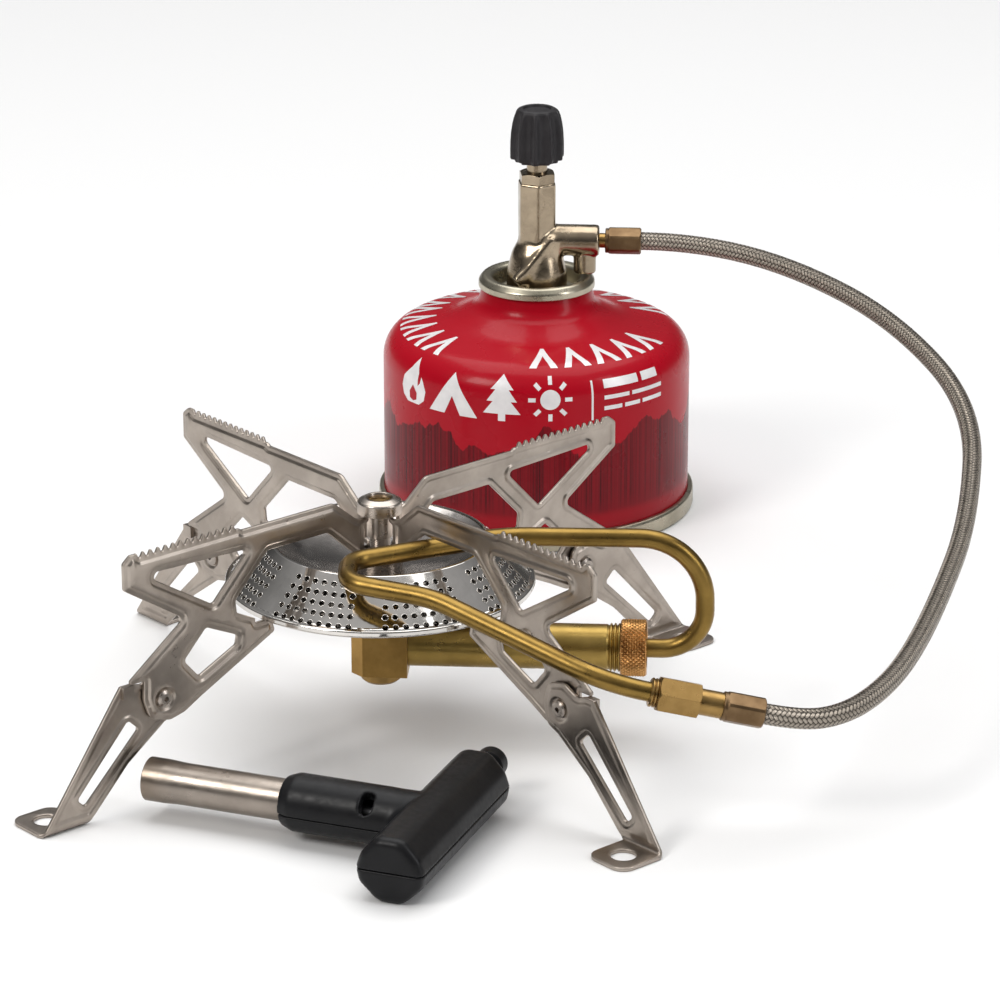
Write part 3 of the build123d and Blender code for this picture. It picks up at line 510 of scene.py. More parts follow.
def make_knob():
    """The valve's knob: a fluted barrel with a domed shoulder, a ring recess on top and a stepped skirt."""
    low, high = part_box("valve_knob")
    angle = np.linspace(0, tau, KNOB_COLUMNS, endpoint=False)
    wave = 0.5 + 0.5 * np.cos(KNOB_FLUTES * angle + KNOB_TURN)
    groove = 1 - (1 - wave) ** 1.7
    scale = (high.z - low.z) / MM / KNOB_RINGS[:, 0].max()
    travelled = np.concatenate([[0], np.cumsum(np.hypot(*np.diff(KNOB_RINGS[:, :2], axis=0).T))])
    places = np.unique(np.concatenate([np.linspace(0, travelled[-1], 120), travelled]))
    heights, radii, depths = (np.interp(places, travelled, KNOB_RINGS[:, k]) for k in range(3))
    rows = []
    for height, radius, depth in zip(heights * scale, radii, depths):
        r = (radius - depth * groove) * MM
        level = np.full(KNOB_COLUMNS, low.z + height * MM)
        rows.append(np.stack([CANISTER_X + r * np.cos(angle), CANISTER_Y + r * np.sin(angle), level], -1))
    return add_piece(
        "fluted_knob", np.concatenate(rows), grid_faces(len(rows), KNOB_COLUMNS), "valve_control", ["valve_knob"],
        60,
    )


knob = make_knob()


# ---------------------------------------------------------------- cast and moulded pieces
BLEND_PASSES = 40


def softened(name, node, voxel, passes, blend_at):
    """A moulded copy of a CAD node: its corners are softened, and flow into each other where blend_at is 1."""
    source = nodes[node]
    mesh = source.data.copy()
    copy = link(name, mesh)
    weld = bmesh.new()
    weld.from_mesh(mesh)
    bmesh.ops.remove_doubles(weld, verts=weld.verts, dist=1e-6)
    weld.to_mesh(mesh)
    weld.free()
    remesh = copy.modifiers.new("remesh", "REMESH")
    remesh.mode = "VOXEL"
    remesh.voxel_size = voxel
    evaluated = copy.evaluated_get(bpy.context.evaluated_depsgraph_get())
    fine = bpy.data.meshes.new_from_object(evaluated)
    copy.modifiers.clear()
    copy.data = fine
    bpy.data.meshes.remove(mesh)
    co = np.array([v.co for v in fine.vertices])
    edges = np.array([e.vertices for e in fine.edges])
    degree = np.bincount(edges.ravel(), minlength=len(co)).astype(float)[:, None]

    def relaxed(places, share):
        """Each vertex moved a share of the way to the middle of its neighbours."""
        total = np.zeros_like(places)
        np.add.at(total, edges[:, 0], places[edges[:, 1]])
        np.add.at(total, edges[:, 1], places[edges[:, 0]])
        return places + share * (total / degree - places)

    for _ in range(passes):
        co = relaxed(relaxed(co, 0.6), -0.5)
    local = blend_at(co)[:, None]
    for _ in range(BLEND_PASSES):
        co = relaxed(co, 0.6 * local)
    fine.vertices.foreach_set("co", co.astype(np.float32).ravel())
    fine.materials.clear()
    fine.shade_smooth()
    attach(copy, body_of_node[node])
    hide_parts(node)
    return copy


def around_valve_web(places):
    """How strongly the casting's web, bell and arm flow into each other, and how little its column does."""
    height, aside = places[:, 2], places[:, 0] - CANISTER_X
    low_part = smoothstep((84.5 * MM - height) / (3.0 * MM)) * smoothstep((height - 66.5 * MM) / (1.5 * MM))
    near_axis = smoothstep((9.5 * MM - aside) / (3.0 * MM))
    return np.maximum(low_part * near_axis, 0.2)


valve_casting = softened("valve_casting", "valve_body", 0.3 * MM, 10, around_valve_web)


LIGHTER_CENTRE = np.array((19.4, -80.0, 9.3)) * MM        # where the axes of its stem and grip cross
LIGHTER_TURN = radians(-17.5)
STEM_WAY = (cos(LIGHTER_TURN), sin(LIGHTER_TURN), 0)
GRIP_WAY = (-sin(LIGHTER_TURN), cos(LIGHTER_TURN), 0)
GRIP_SIDE, STEM_HALF, SPLIT_Z = 8.2 * MM, 6.5 * MM, 8.1 * MM


def around_lighter_joint(places):
    """How strongly the lighter's stem and grip flow into each other near where they meet."""
    from_centre = places - LIGHTER_CENTRE
    along_stem, along_grip = from_centre @ np.array(STEM_WAY), from_centre @ np.array(GRIP_WAY)
    near = np.hypot(along_stem + GRIP_SIDE, np.clip(np.abs(along_grip) - STEM_HALF, 0, None))
    away_from_split = smoothstep((np.abs(places[:, 2] - SPLIT_Z) - 0.3 * MM) / (1.0 * MM))
    return smoothstep(1 - near / (4.0 * MM)) * away_from_split


lighter_cover = softened(
    "lighter_top_shell", "lighter_cover", 0.38 * MM, 8, around_lighter_joint
)
lighter_base = softened(
    "lighter_bottom_shell", "lighter_base", 0.38 * MM, 8, around_lighter_joint
)


def make_return_spring():
    """The button's return spring: a copy of the CAD spring that rides on the lighter."""
    mesh = nodes["lighter_spring"].data.copy()
    mesh.materials.clear()
    spring = link("return_spring", mesh)
    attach(spring, "lighter")
    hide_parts("lighter_spring")
    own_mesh(spring)
    return spring


return_spring = make_return_spring()


# ---------------------------------------------------------------- flame ring's burrs
RING_INNER_R = 28.0 * MM
RING_SLOPE = Vector((10.3, 0, -10.1)).normalized()       # outward and downward along the flame ring's cone
PORT_ROWS, PORT_PANELS, PANEL_ANGLE = 5, 8, 35.0
FIRST_ROW, ROW_PITCH = 2.1 * MM, 2.0 * MM
LIP_R, LIP_HALF_WIDTH, LIP_HEIGHT = 0.80, 0.09, 0.08     # millimetres


def make_port_burrs():
    """The turned-up lips of the flame ring's punched ports."""
    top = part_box("flame_ring")[1].z
    lip_points, tube_points = 14, 6
    vertices, faces = [], []
    for row in range(PORT_ROWS):
        radius = RING_INNER_R + FIRST_ROW + row * ROW_PITCH
        height = top + (radius - RING_INNER_R) * RING_SLOPE.z / RING_SLOPE.x
        ports = 7 + (row + 1) // 2
        for panel in range(PORT_PANELS):
            for port in range(ports):
                angle = radians(360 / PORT_PANELS * (panel + 0.5) + PANEL_ANGLE * ((port + 0.5) / ports - 0.5))
                out, side = Vector((cos(angle), sin(angle), 0)), Vector((-sin(angle), cos(angle), 0))
                normal = out * -RING_SLOPE.z + Vector((0, 0, RING_SLOPE.x))
                down = normal.cross(side)
                centre = out * radius + Vector((0, 0, height))
                base = len(vertices)
                for i in range(lip_points):
                    turn = tau * i / lip_points
                    away = side * cos(turn) + down * sin(turn)
                    for j in range(tube_points):
                        roll = tau * j / tube_points
                        outward = (LIP_R + LIP_HALF_WIDTH * cos(roll)) * MM
                        lift = (0.01 + LIP_HEIGHT * sin(roll)) * MM
                        vertices.append(centre + away * outward + normal * lift)
                faces += [
                    tuple(base + c % (lip_points * tube_points) for c in (face[0], *reversed(face[1:])))
                    for face in grid_faces(lip_points + 1, tube_points)
                ]
    return add_piece("flame_port_lips", vertices, faces, "root", smooth=180)


port_burrs = make_port_burrs()


# ---------------------------------------------------------------- printed marks on the canister
PRINT_LIFT = 0.05 * MM
PRINT_GRID = 0.7                 # millimetres
PRINT_FRONT = radians(-113)      # the side of the canister that the marks are measured from
PEAK_TURN = 14.5                 # degrees from one peak to the next
PEAK_GROUPS = ((-84, 5), (-196, 5), (24, 5), (110, 4))       # first angle and number of peaks
PEAK = [(-5.9, 40.0), (-0.9, 29.5), (0.9, 29.5), (5.9, 40.0), (2.9, 40.0), (0, 33.8), (-2.9, 40.0)]


def placed(loops, x, y, size):
    """Loops of a sign that is one unit high, at their place and size."""
    return [[(x + size * px, y + size * py) for px, py in loop] for loop in loops]


def flame(x, y, size):
    """A plain flame with a hollow heart."""
    outer = [
        (0.02, 1.0), (-0.12, 0.78), (-0.34, 0.56), (-0.42, 0.32), (-0.36, 0.12), (-0.2, 0.0), (0.2, 0.0),
        (0.36, 0.12), (0.42, 0.34), (0.34, 0.55), (0.27, 0.64), (0.24, 0.5), (0.16, 0.42), (0.17, 0.7),
    ]
    heart = [(0.0, 0.42), (-0.13, 0.25), (-0.12, 0.1), (0.0, 0.05), (0.12, 0.1), (0.13, 0.25)]
    return placed((outer, heart), x, y, size)


def tent(x, y, size):
    """A tent with an open door."""
    outer = [(-0.62, 0), (0, 0.92), (0.62, 0)]
    door = [(-0.2, 0), (0, 0.42), (0.2, 0)]
    return placed((outer, door), x, y, size)


def tree(x, y, size):
    """A fir tree."""
    right = [(0.08, 0), (0.08, 0.16), (0.42, 0.16), (0.2, 0.44), (0.34, 0.44), (0.15, 0.7), (0.26, 0.7)]
    return placed([right + [(0, 1.0)] + [(-px, py) for px, py in reversed(right)]], x, y, size)


def sun(x, y, size):
    """A round sun with eight rays."""
    loops = [[(0.22 * cos(tau * k / 40), 0.5 + 0.22 * sin(tau * k / 40)) for k in range(40)]]
    for ray in range(8):
        c, d = cos(tau * ray / 8), sin(tau * ray / 8)
        loops.append([(c * r - d * w, 0.5 + d * r + c * w) for r, w in bar(0.32, -0.045, 0.48, 0.045)])
    return placed(loops, x, y, size)


def wall_marks():
    """Generic outdoor signs and plain bars, in millimetres round the canister and up from the ground."""
    base, size = 39.2, 13.2
    loops = flame(-20.5, base, size) + tent(-5.0, base, size) + tree(10.5, base, size) + sun(24.5, base, size)
    bars = (
        (36.6, 38.9, 37.2, 50.4), (40.6, 47.9, 52.5, 50.3), (54.0, 47.9, 60.5, 50.3), (40.6, 44.6, 49.0, 45.8),
        (50.0, 44.6, 62.0, 45.8), (40.6, 41.4, 46.5, 42.6), (47.5, 41.4, 53.0, 42.6), (54.0, 41.4, 62.0, 42.6),
    )
    return loops + [bar(*corners) for corners in bars]


def make_print():
    """White ink on the canister's wall and shoulder."""
    shell = nodes["canister_shell"]
    surface = BVHTree.FromPolygons([v.co for v in shell.data.vertices], [p.vertices for p in shell.data.polygons])
    low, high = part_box("canister_shell")
    radius = (high.x - low.x) / 2
    vertices, faces = [], []

    def lay(loops, place):
        """Fill closed loops with a flat mesh, and lay it where place says."""
        shape = np.concatenate([ring_outline(loop) for loop in loops]) * MM
        points, flat_faces, _ = flat_mesh(shape, PRINT_GRID, (), PRINT_GRID)
        base = len(vertices)
        vertices.extend(place(*p) for p in points / MM)
        faces.extend([base + c for c in face] for face in flat_faces)

    def on_wall(x, y):
        """x is millimetres round the canister, and y is millimetres above the ground."""
        angle = PRINT_FRONT + x * MM / radius
        out = Vector((cos(angle), sin(angle), 0))
        start = Vector((CANISTER_X, CANISTER_Y, y * MM)) + out * 2 * radius
        return surface.ray_cast(start, -out)[0] + out * PRINT_LIFT

    def on_shoulder(x, y):
        """x is degrees round the canister, and y is millimetres from its axis."""
        start = Vector((CANISTER_X + y * MM * cos(radians(x)), CANISTER_Y + y * MM * sin(radians(x)), 2 * high.z))
        return surface.ray_cast(start, Vector((0, 0, -1)))[0] + Vector((0, 0, PRINT_LIFT))

    lay(wall_marks(), on_wall)
    for first, count in PEAK_GROUPS:
        for mark in range(count):
            lay([[(first + PEAK_TURN * mark + turn, out) for turn, out in PEAK]], on_shoulder)
    return add_piece("canister_print", vertices, faces, "root", smooth=180)


canister_print = make_print()


# ---------------------------------------------------------------- materials
class Paint:
    """A material's node tree, with short calls for the nodes that these materials use."""

    def __init__(self, name):
        self.material = bpy.data.materials.new(name)
        self.material.use_nodes = True
        self.tree = self.material.node_tree
        self.tree.nodes.clear()
        self.surface = self.node("ShaderNodeBsdfPrincipled")
        output = self.node("ShaderNodeOutputMaterial")
        self.tree.links.new(self.surface.outputs["BSDF"], output.inputs["Surface"])
        self.place = self.node("ShaderNodeTexCoord").outputs["Object"]

    def node(self, kind, **settings):
        """A new node with the given settings."""
        node = self.tree.nodes.new(kind)
        for key, value in settings.items():
            setattr(node, key, value)
        return node

    def feed(self, socket, value):
        """Link a socket to another one, or set its value."""
        if isinstance(value, bpy.types.NodeSocket):
            self.tree.links.new(value, socket)
        else:
            socket.default_value = value

    def set(self, **values):
        """Principled inputs, by their names with underscores for spaces."""
        for key, value in values.items():
            name = key.replace("_", " ")
            if name == "Base Color" and not isinstance(value, bpy.types.NodeSocket):
                value = (*value, 1)
            self.feed(self.surface.inputs[name], value)
        return self

    def math(self, operation, *values):
        node = self.node("ShaderNodeMath", operation=operation)
        for socket, value in zip(node.inputs, values):
            self.feed(socket, value)
        return node.outputs[0]

    def either(self, share, first, second):
        """A number that goes from first to second as share goes from 0 to 1."""
        node = self.node("ShaderNodeMix", data_type="FLOAT")
        for index, value in ((0, share), (2, first), (3, second)):
            self.feed(node.inputs[index], value)
        return node.outputs[0]

    def part(self, axis, of=None):
        """One coordinate of a place."""
        node = self.node("ShaderNodeSeparateXYZ")
        self.feed(node.inputs[0], of or self.place)
        return node.outputs[axis]

    def noise(self, scale, detail=3.0, stretch=(1, 1, 1), roughness=0.5, of=None):
        """Noise at a place, whose axes may be stretched."""
        mapping = self.node("ShaderNodeMapping")
        self.feed(mapping.inputs["Vector"], of or self.place)
        mapping.inputs["Scale"].default_value = stretch
        node = self.node("ShaderNodeTexNoise")
        self.feed(node.inputs["Vector"], mapping.outputs[0])
        node.inputs["Scale"].default_value = scale
        node.inputs["Detail"].default_value = detail
        node.inputs["Roughness"].default_value = roughness
        return node.outputs[0]

    def ranged(self, value, low, high, to_low=0.0, to_high=1.0, smooth=False):
        """A value moved from one range to another, and held inside it."""
        node = self.node("ShaderNodeMapRange")
        if smooth:
            node.interpolation_type = "SMOOTHSTEP"
        for index, given in enumerate((value, low, high, to_low, to_high)):
            self.feed(node.inputs[index], given)
        return node.outputs[0]

    def mix(self, share, first, second):
        """A colour that goes from first to second as share goes from 0 to 1."""
        node = self.node("ShaderNodeMix", data_type="RGBA")
        self.feed(node.inputs[0], share)
        for index, value in ((6, first), (7, second)):
            self.feed(node.inputs[index], value if isinstance(value, bpy.types.NodeSocket) else (*value, 1))
        return node.outputs[2]

    def rounded(self, radius):
        """A normal that rounds the edges between faces."""
        node = self.node("ShaderNodeBevel", samples=4)
        node.inputs["Radius"].default_value = radius
        return node.outputs[0]

    def bump(self, height, distance, normal=None):
        node = self.node("ShaderNodeBump")
        node.inputs["Strength"].default_value = 1.0
        node.inputs["Distance"].default_value = distance
        self.feed(node.inputs["Height"], height)
        if normal is not None:
            self.feed(node.inputs["Normal"], normal)
        return node.outputs[0]

    def along(self, way, start=(0, 0, 0)):
        """Distance along a direction from a point."""
        from_start = self.node("ShaderNodeVectorMath", operation="SUBTRACT")
        self.feed(from_start.inputs[0], self.place)
        from_start.inputs[1].default_value = start
        dot = self.node("ShaderNodeVectorMath", operation="DOT_PRODUCT")
        self.feed(dot.inputs[0], from_start.outputs[0])
        dot.inputs[1].default_value = way
        return dot.outputs["Value"]


def metal(
    name, light, dark, rough, patch, grain, grain_depth, stretch=(1, 1, 1), bevel=0.0, patch_range=(0.38, 0.62)
):
    """Bare or plated metal: patchy tone, uneven gloss and a fine grain."""
    paint = Paint(name)
    tone = paint.ranged(paint.noise(patch, 4, roughness=0.6), *patch_range)
    fine = paint.noise(grain, 2, stretch)
    gloss = paint.ranged(paint.noise(patch * 2.7, 5, roughness=0.65), 0.35, 0.65, rough[0], rough[1])
    paint.tone = tone
    normal = paint.rounded(bevel) if bevel else None
    paint.set(
        Base_Color=paint.mix(tone, light, dark), Metallic=1.0,
        Roughness=paint.math("ADD", gloss, paint.math("MULTIPLY", paint.math("SUBTRACT", fine, 0.5), 0.12)),
        Normal=paint.bump(fine, grain_depth * MM, normal),
    )
    return paint


# Finish, material, its light and dark tones, its roughness, and what differs from a plain metal.
METALS = (
    ("sheet", "stainless_sheet", (0.445, 0.39, 0.34), (0.345, 0.30, 0.26), (0.29, 0.38),
     {"patch": 70, "grain": 2000, "grain_depth": 0.0025}),
    ("chrome", "burner_chrome", (0.72, 0.69, 0.655), (0.56, 0.54, 0.51), (0.05, 0.13),
     {"patch": 60, "grain": 220, "grain_depth": 0.035}),
    ("plate", "burner_plate", (0.60, 0.56, 0.525), (0.38, 0.355, 0.335), (0.11, 0.24),
     {"patch": 45, "grain": 160, "grain_depth": 0.12}),
    ("tube", "brass_tube", (0.30, 0.19, 0.052), (0.20, 0.125, 0.033), (0.27, 0.38),
     {"patch": 90, "grain": 1500, "grain_depth": 0.008, "patch_range": (0.32, 0.66)}),
    ("mixer", "mixing_tube_brass", (0.42, 0.285, 0.085), (0.30, 0.20, 0.055), (0.27, 0.38),
     {"patch": 90, "grain": 1500, "grain_depth": 0.008, "patch_range": (0.32, 0.66)}),
    ("brass", "brass_machined", (0.37, 0.232, 0.083), (0.27, 0.165, 0.056), (0.26, 0.38),
     {"patch": 110, "grain": 2400, "grain_depth": 0.006, "bevel": 0.12 * MM}),
    ("block", "block_brass", (0.42, 0.25, 0.075), (0.30, 0.175, 0.05), (0.30, 0.44),
     {"patch": 100, "grain": 2400, "grain_depth": 0.008, "stretch": (1, 1, 0.12), "bevel": 0.18 * MM}),
    ("knurl", "knurled_brass", (0.58, 0.31, 0.11), (0.42, 0.21, 0.07), (0.24, 0.36),
     {"patch": 260, "grain": 3200, "grain_depth": 0.006}),
    ("ferrule", "brass_dark", (0.22, 0.142, 0.075), (0.145, 0.09, 0.046), (0.32, 0.44),
     {"patch": 140, "grain": 2400, "grain_depth": 0.008, "stretch": (0.15, 1, 1), "bevel": 0.12 * MM}),
    ("nickel", "nickel", (0.41, 0.33, 0.235), (0.30, 0.24, 0.17), (0.16, 0.28),
     {"patch": 90, "grain": 700, "grain_depth": 0.045}),
    ("nickel_nut", "nickel_nut", (0.41, 0.33, 0.235), (0.30, 0.24, 0.17), (0.16, 0.28),
     {"patch": 90, "grain": 1500, "grain_depth": 0.008, "bevel": 0.12 * MM}),
    ("hub", "hub_steel", (0.48, 0.425, 0.375), (0.35, 0.31, 0.275), (0.24, 0.36),
     {"patch": 120, "grain": 2600, "grain_depth": 0.006, "stretch": (0.1, 0.1, 1), "bevel": 0.12 * MM}),
    ("tin", "tinplate", (0.50, 0.46, 0.36), (0.38, 0.35, 0.27), (0.26, 0.38),
     {"patch": 70, "grain": 1600, "grain_depth": 0.010, "bevel": 0.15 * MM}),
)


def braided_steel():
    """Woven wire: the bands' fine wires run along whichever band is on top of the braid, with painted shade at each
    band's edges and ends and in the grooves between its wires.
    """
    paint = Paint("braided_steel")
    uv = paint.node("ShaderNodeUVMap", uv_map="UVMap").outputs[0]
    around, climb = paint.part(0, uv), paint.part(1, uv)
    turns = paint.math("ADD", paint.math("MULTIPLY", around, BRAID_STRANDS), 0.5 / ROWS_PER_BAND)
    first, second = paint.math("ADD", turns, climb), paint.math("SUBTRACT", turns, climb)
    both = paint.math("ADD", paint.math("FLOOR", first), paint.math("FLOOR", second))
    step = paint.math("FLOORED_MODULO", both, 4.0)
    under = paint.math("GREATER_THAN", step, 1.5)
    f, s = paint.math("FRACT", first), paint.math("FRACT", second)
    across = paint.either(under, f, s)
    along = paint.either(under, paint.math("ADD", step, s), paint.math("ADD", paint.math("SUBTRACT", step, 2.0), f))
    crown_across = paint.math("SINE", paint.math("MULTIPLY", across, pi))
    crown_along = paint.math("SINE", paint.math("MULTIPLY", along, pi / 2))
    wires_per_band = 5
    wires = paint.math("SINE", paint.math("MULTIPLY", across, tau * wires_per_band))
    height = paint.ranged(wires, -1.0, 1.0)
    # Painted shade: the braid's colour goes nearly black at each top band's edges and ends, where it dips under the
    # next band, and is light only on its crown.
    free_of_painted_gap_shade = paint.ranged(paint.math("MULTIPLY", crown_across, crown_along), 0.0, 0.5)
    shade = paint.mix(free_of_painted_gap_shade, (0.03, 0.026, 0.022), (0.50, 0.44, 0.37))
    # Painted shade: the colour is mixed halfway toward near-black in the grooves between a band's fine wires.
    shade = paint.mix(paint.ranged(height, 0.0, 0.6), paint.mix(0.5, shade, (0.06, 0.055, 0.05)), shade)
    paint.set(
        Base_Color=shade, Metallic=1.0, Roughness=paint.ranged(paint.noise(500), 0.3, 0.7, 0.22, 0.38),
        Normal=paint.bump(height, 0.05 * MM),
    )
    return paint.material


def plastic(name, light, dark, patch, gloss, rough, grain, detail, depth, specular):
    """Dark moulded plastic: faint patches, uneven gloss and a fine grain."""
    paint = Paint(name)
    paint.set(
        Base_Color=paint.mix(paint.ranged(paint.noise(patch, 4), 0.35, 0.65), light, dark),
        Roughness=paint.ranged(paint.noise(gloss), 0.3, 0.7, *rough),
        Normal=paint.bump(paint.noise(grain, detail), depth * MM), Specular_IOR_Level=specular,
    )
    return paint.material


TUBE_STEEL = ((0.34, 0.295, 0.255), (0.255, 0.222, 0.192))
HEATED_STEEL = (0.23, 0.175, 0.125)
HEATED_FROM, HEATED_TO = -0.0754, -0.066      # along the lighter's stem, from its centre


def lighter_steel():
    """Brushed tube, browned by heat towards its open end."""
    paint = metal(
        "lighter_steel", *TUBE_STEEL, (0.28, 0.38), patch=70, grain=2400, grain_depth=0.012, stretch=(0.12, 0.5, 1),
    )
    along = paint.along(STEM_WAY, tuple(LIGHTER_CENTRE))
    heat = paint.ranged(along, HEATED_FROM, HEATED_TO, 1.0, 0.0, smooth=True)
    tone = paint.mix(paint.tone, *TUBE_STEEL)
    paint.set(Base_Color=paint.mix(paint.math("MULTIPLY", heat, 0.5), tone, HEATED_STEEL))
    return paint.material


SKYLINE = (0.0265, 0.0405)       # heights of the skyline's valleys and peaks
STREAK_FOOT = 0.0085             # below this height the can is plain
RED, DEEP_RED, DARK_RED = (0.40, 0.002, 0.012), (0.17, 0.002, 0.007), (0.035, 0.001, 0.003)


def red_lacquer():
    """Red can: the lower part is darker, with a mountain skyline and fine upright streaks."""
    paint = Paint("red_lacquer")
    x = paint.math("SUBTRACT", paint.part(0), CANISTER_X)
    y = paint.math("SUBTRACT", paint.part(1), CANISTER_Y)
    z = paint.part(2)
    unit = paint.node("ShaderNodeVectorMath", operation="NORMALIZE")
    flat = paint.node("ShaderNodeCombineXYZ")
    paint.feed(flat.inputs[0], x)
    paint.feed(flat.inputs[1], y)
    paint.feed(unit.inputs[0], flat.outputs[0])
    skyline = paint.noise(1.9, 6, roughness=0.55, of=unit.outputs[0])
    peaks = paint.ranged(skyline, 0.34, 0.68, *SKYLINE)
    below = paint.ranged(paint.math("SUBTRACT", peaks, z), -0.0001, 0.0002)
    streak = paint.noise(62, 3, roughness=0.75, of=unit.outputs[0])
    lines = paint.ranged(streak, 0.47, 0.53)
    thin = paint.ranged(paint.noise(150, 1, of=unit.outputs[0]), 0.5, 0.6)
    reach = paint.ranged(z, STREAK_FOOT, 0.0165, smooth=True)
    ragged = paint.ranged(paint.noise(240, 2, stretch=(1, 1, 0.08)), 0.42, 0.56)
    strength = paint.math("MULTIPLY", paint.math("MULTIPLY", lines, reach), paint.math("ADD", thin, 0.35))
    lower = paint.mix(strength, DEEP_RED, DARK_RED)
    lower = paint.mix(paint.math("MULTIPLY", ragged, 0.16), lower, (0.34, 0.004, 0.012))
    lower = paint.mix(paint.ranged(z, STREAK_FOOT, 0.0115, 1.0, 0.0, smooth=True), lower, (0.30, 0.003, 0.010))
    shade = paint.mix(below, RED, lower)
    paint.set(
        Base_Color=shade, Roughness=paint.ranged(paint.noise(70, 4), 0.3, 0.7, 0.24, 0.34), Coat_Weight=0.10,
        Coat_Roughness=0.06, Normal=paint.bump(paint.noise(120, 2), 0.02 * MM), Specular_IOR_Level=0.12,
    )
    return paint.material


def white_ink():
    paint = Paint("white_ink")
    paint.set(
        Base_Color=paint.mix(paint.ranged(paint.noise(300, 3), 0.3, 0.7), (0.84, 0.82, 0.82), (0.74, 0.72, 0.73)),
        Roughness=0.32, Coat_Weight=0.5, Coat_Roughness=0.08,
    )
    return paint.material


def plain(name, light, dark, rough, metallic=0.0):
    """A small or hidden piece: patchy tone with a fine grain."""
    paint = Paint(name)
    paint.set(
        Base_Color=paint.mix(paint.ranged(paint.noise(160, 3), 0.35, 0.65), light, dark), Metallic=metallic,
        Roughness=paint.ranged(paint.noise(400, 2), 0.3, 0.7, rough[0], rough[1]),
        Normal=paint.bump(paint.noise(900, 2), 0.01 * MM),
    )
    return paint.material


finishes = {
    finish: metal(name, light, dark, rough, **more).material for finish, name, light, dark, rough, more in METALS
}
finishes.update({
    "braid": braided_steel(), "lighter_tube": lighter_steel(), "red": red_lacquer(), "ink": white_ink(),
    "knob": plastic(
        "knob_plastic", (0.018, 0.016, 0.018), (0.027, 0.025, 0.027), 180, 900, (0.42, 0.58), 2600, 3, 0.01, 0.3
    ),
    "lighter": plastic(
        "lighter_plastic", (0.006, 0.006, 0.007), (0.010, 0.010, 0.011), 120, 700, (0.32, 0.44), 2200, 2, 0.008, 0.2
    ),
    "rubber": plain("seal_rubber", (0.03, 0.03, 0.03), (0.018, 0.018, 0.018), (0.6, 0.8)),
    "ceramic": plain("ceramic", (0.82, 0.80, 0.74), (0.72, 0.69, 0.62), (0.25, 0.4)),
    "spring": plain("spring_steel", (0.52, 0.52, 0.53), (0.38, 0.38, 0.39), (0.25, 0.4), 1.0),
})

node_finishes = {
    "sheet": [f"{part}_{corner}" for corner in SUPPORT_AZIMUTHS for part in ("support", "leg")],
    "hub": [f"leg_rivet_{corner}" for corner in SUPPORT_AZIMUTHS] + ["hub_post", "hub_seat", "hub_cap", "hub_spacer"],
    "chrome": ["burner_pan", "flame_ring"],
    "plate": ["top_plate"],
    "block": ["burner_block"],
    "brass": ["block_plug", "gas_jet", "coupling_nut", "hose_nipple", "valve_nipple", "inlet_probe", "canister_pin",
              "hub_screw"],
    "knurl": ["knurled_nut"],
    "tube": ["preheat_tube"],
    "mixer": ["mixing_tube"],
    "ferrule": ["burner_ferrule", "valve_ferrule"],
    "braid": ["hose"],
    "nickel": ["valve_body"],
    "nickel_nut": ["packing_nut", "valve_spindle"],
    "knob": ["valve_knob"],
    "rubber": ["spindle_seal", "inlet_gasket"],
    "red": ["canister_shell"],
    "tin": ["canister_base", "canister_collar", "canister_valve"],
    "spring": ["canister_spring", "lighter_spring", "spark_electrode"],
    "lighter_tube": ["lighter_tube"],
    "lighter": ["lighter_cover", "lighter_base", "lighter_button"],
    "ceramic": ["piezo_unit", "spark_insulator"],
}


def finish_piece(piece, finish):
    """Give a piece one material over its whole mesh."""
    if not piece.material_slots:
        piece.data.materials.append(finishes[finish])
    for slot in piece.material_slots:
        slot.material = finishes[finish]


for finish, members in node_finishes.items():
    for node in members:
        finish_piece(nodes[node], finish)
for piece in (*supports.values(), *legs.values()):
    finish_piece(piece, "sheet")
for piece, finish in (
    (hose, "braid"), (knurled_nut, "knurl"), (knob, "knob"), (valve_casting, "nickel"), (lighter_cover, "lighter"),
    (lighter_base, "lighter"), (port_burrs, "chrome"), (canister_print, "ink"), (return_spring, "spring"),
):
    finish_piece(piece, finish)


# ---------------------------------------------------------------- floor and studio light
FLOOR_HALF = 4.0
LIT_POINT = (0.03, 0.03, 0.04)


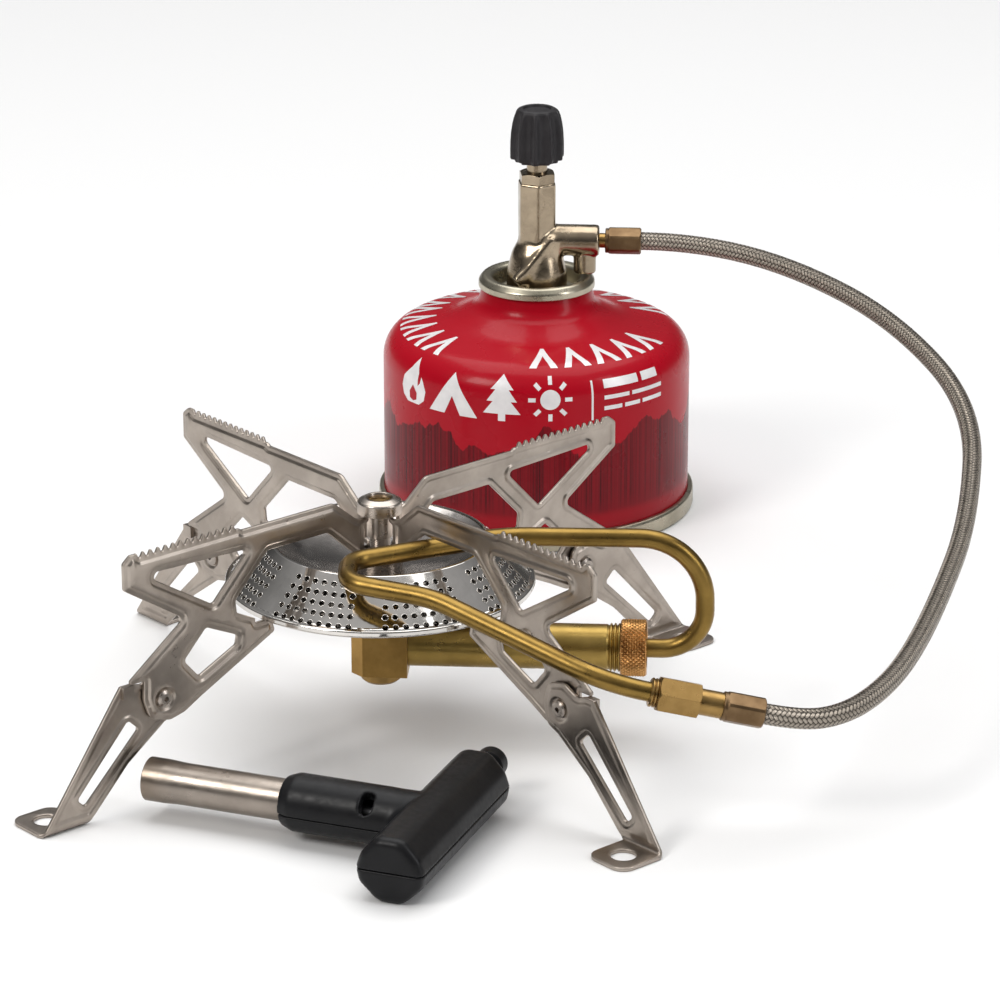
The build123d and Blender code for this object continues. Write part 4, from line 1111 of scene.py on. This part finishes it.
def make_floor():
    """A plain pale floor."""
    data = bpy.data.meshes.new("floor")
    corners = [(x, y, 0) for x, y in bar(-FLOOR_HALF, -FLOOR_HALF, FLOOR_HALF, FLOOR_HALF)]
    data.from_pydata(corners, [], [(0, 1, 2, 3)])
    floor = link("floor", data)
    paint = Paint("floor")
    paint.set(Base_Color=(0.86, 0.86, 0.86), Roughness=0.75)
    data.materials.append(paint.material)


def add_light(name, place, size, power, tint=(1, 1, 1)):
    """A soft box that faces the object."""
    data = bpy.data.lights.new(name, "AREA")
    data.shape = "RECTANGLE"
    data.size, data.size_y = size
    data.energy = power
    data.color = tint
    light = link(name, data)
    light.location = place
    light.rotation_euler = (Vector(LIT_POINT) - Vector(place)).to_track_quat("-Z", "Y").to_euler()


def make_world():
    """A dim grey room that is brighter overhead, so that metal shows both light and shade."""
    world = bpy.data.worlds.new("studio")
    bpy.context.scene.world = world
    world.use_nodes = True
    tree = world.node_tree
    background = tree.nodes["Background"]
    direction = tree.nodes.new("ShaderNodeTexCoord").outputs["Generated"]
    height = tree.nodes.new("ShaderNodeSeparateXYZ")
    tree.links.new(direction, height.inputs[0])
    ramp = tree.nodes.new("ShaderNodeValToRGB")
    stops = ramp.color_ramp.elements
    stops[0].position, stops[0].color = 0.0, (0.22, 0.21, 0.20, 1)
    stops[1].position, stops[1].color = 0.95, (1.0, 1.0, 1.0, 1)
    for position, shade in ((0.22, 0.16), (0.45, 0.34), (0.7, 0.75)):
        stops.new(position).color = (shade, shade, shade * 1.01, 1)
    tree.links.new(height.outputs[2], ramp.inputs[0])
    tree.links.new(ramp.outputs[0], background.inputs[0])
    background.inputs[1].default_value = 0.52


make_floor()
make_world()
add_light("top_softbox", (0.1, 0.45, 1.7), (2.0, 1.6), 25)
add_light("key_softbox", (-1.0, -0.9, 1.15), (0.6, 0.6), 13, (1.0, 0.98, 0.95))
add_light("fill_softbox", (1.35, -0.45, 0.7), (0.35, 1.1), 6, (0.97, 0.98, 1.0))
bpy.context.scene.view_settings.view_transform = "Standard"
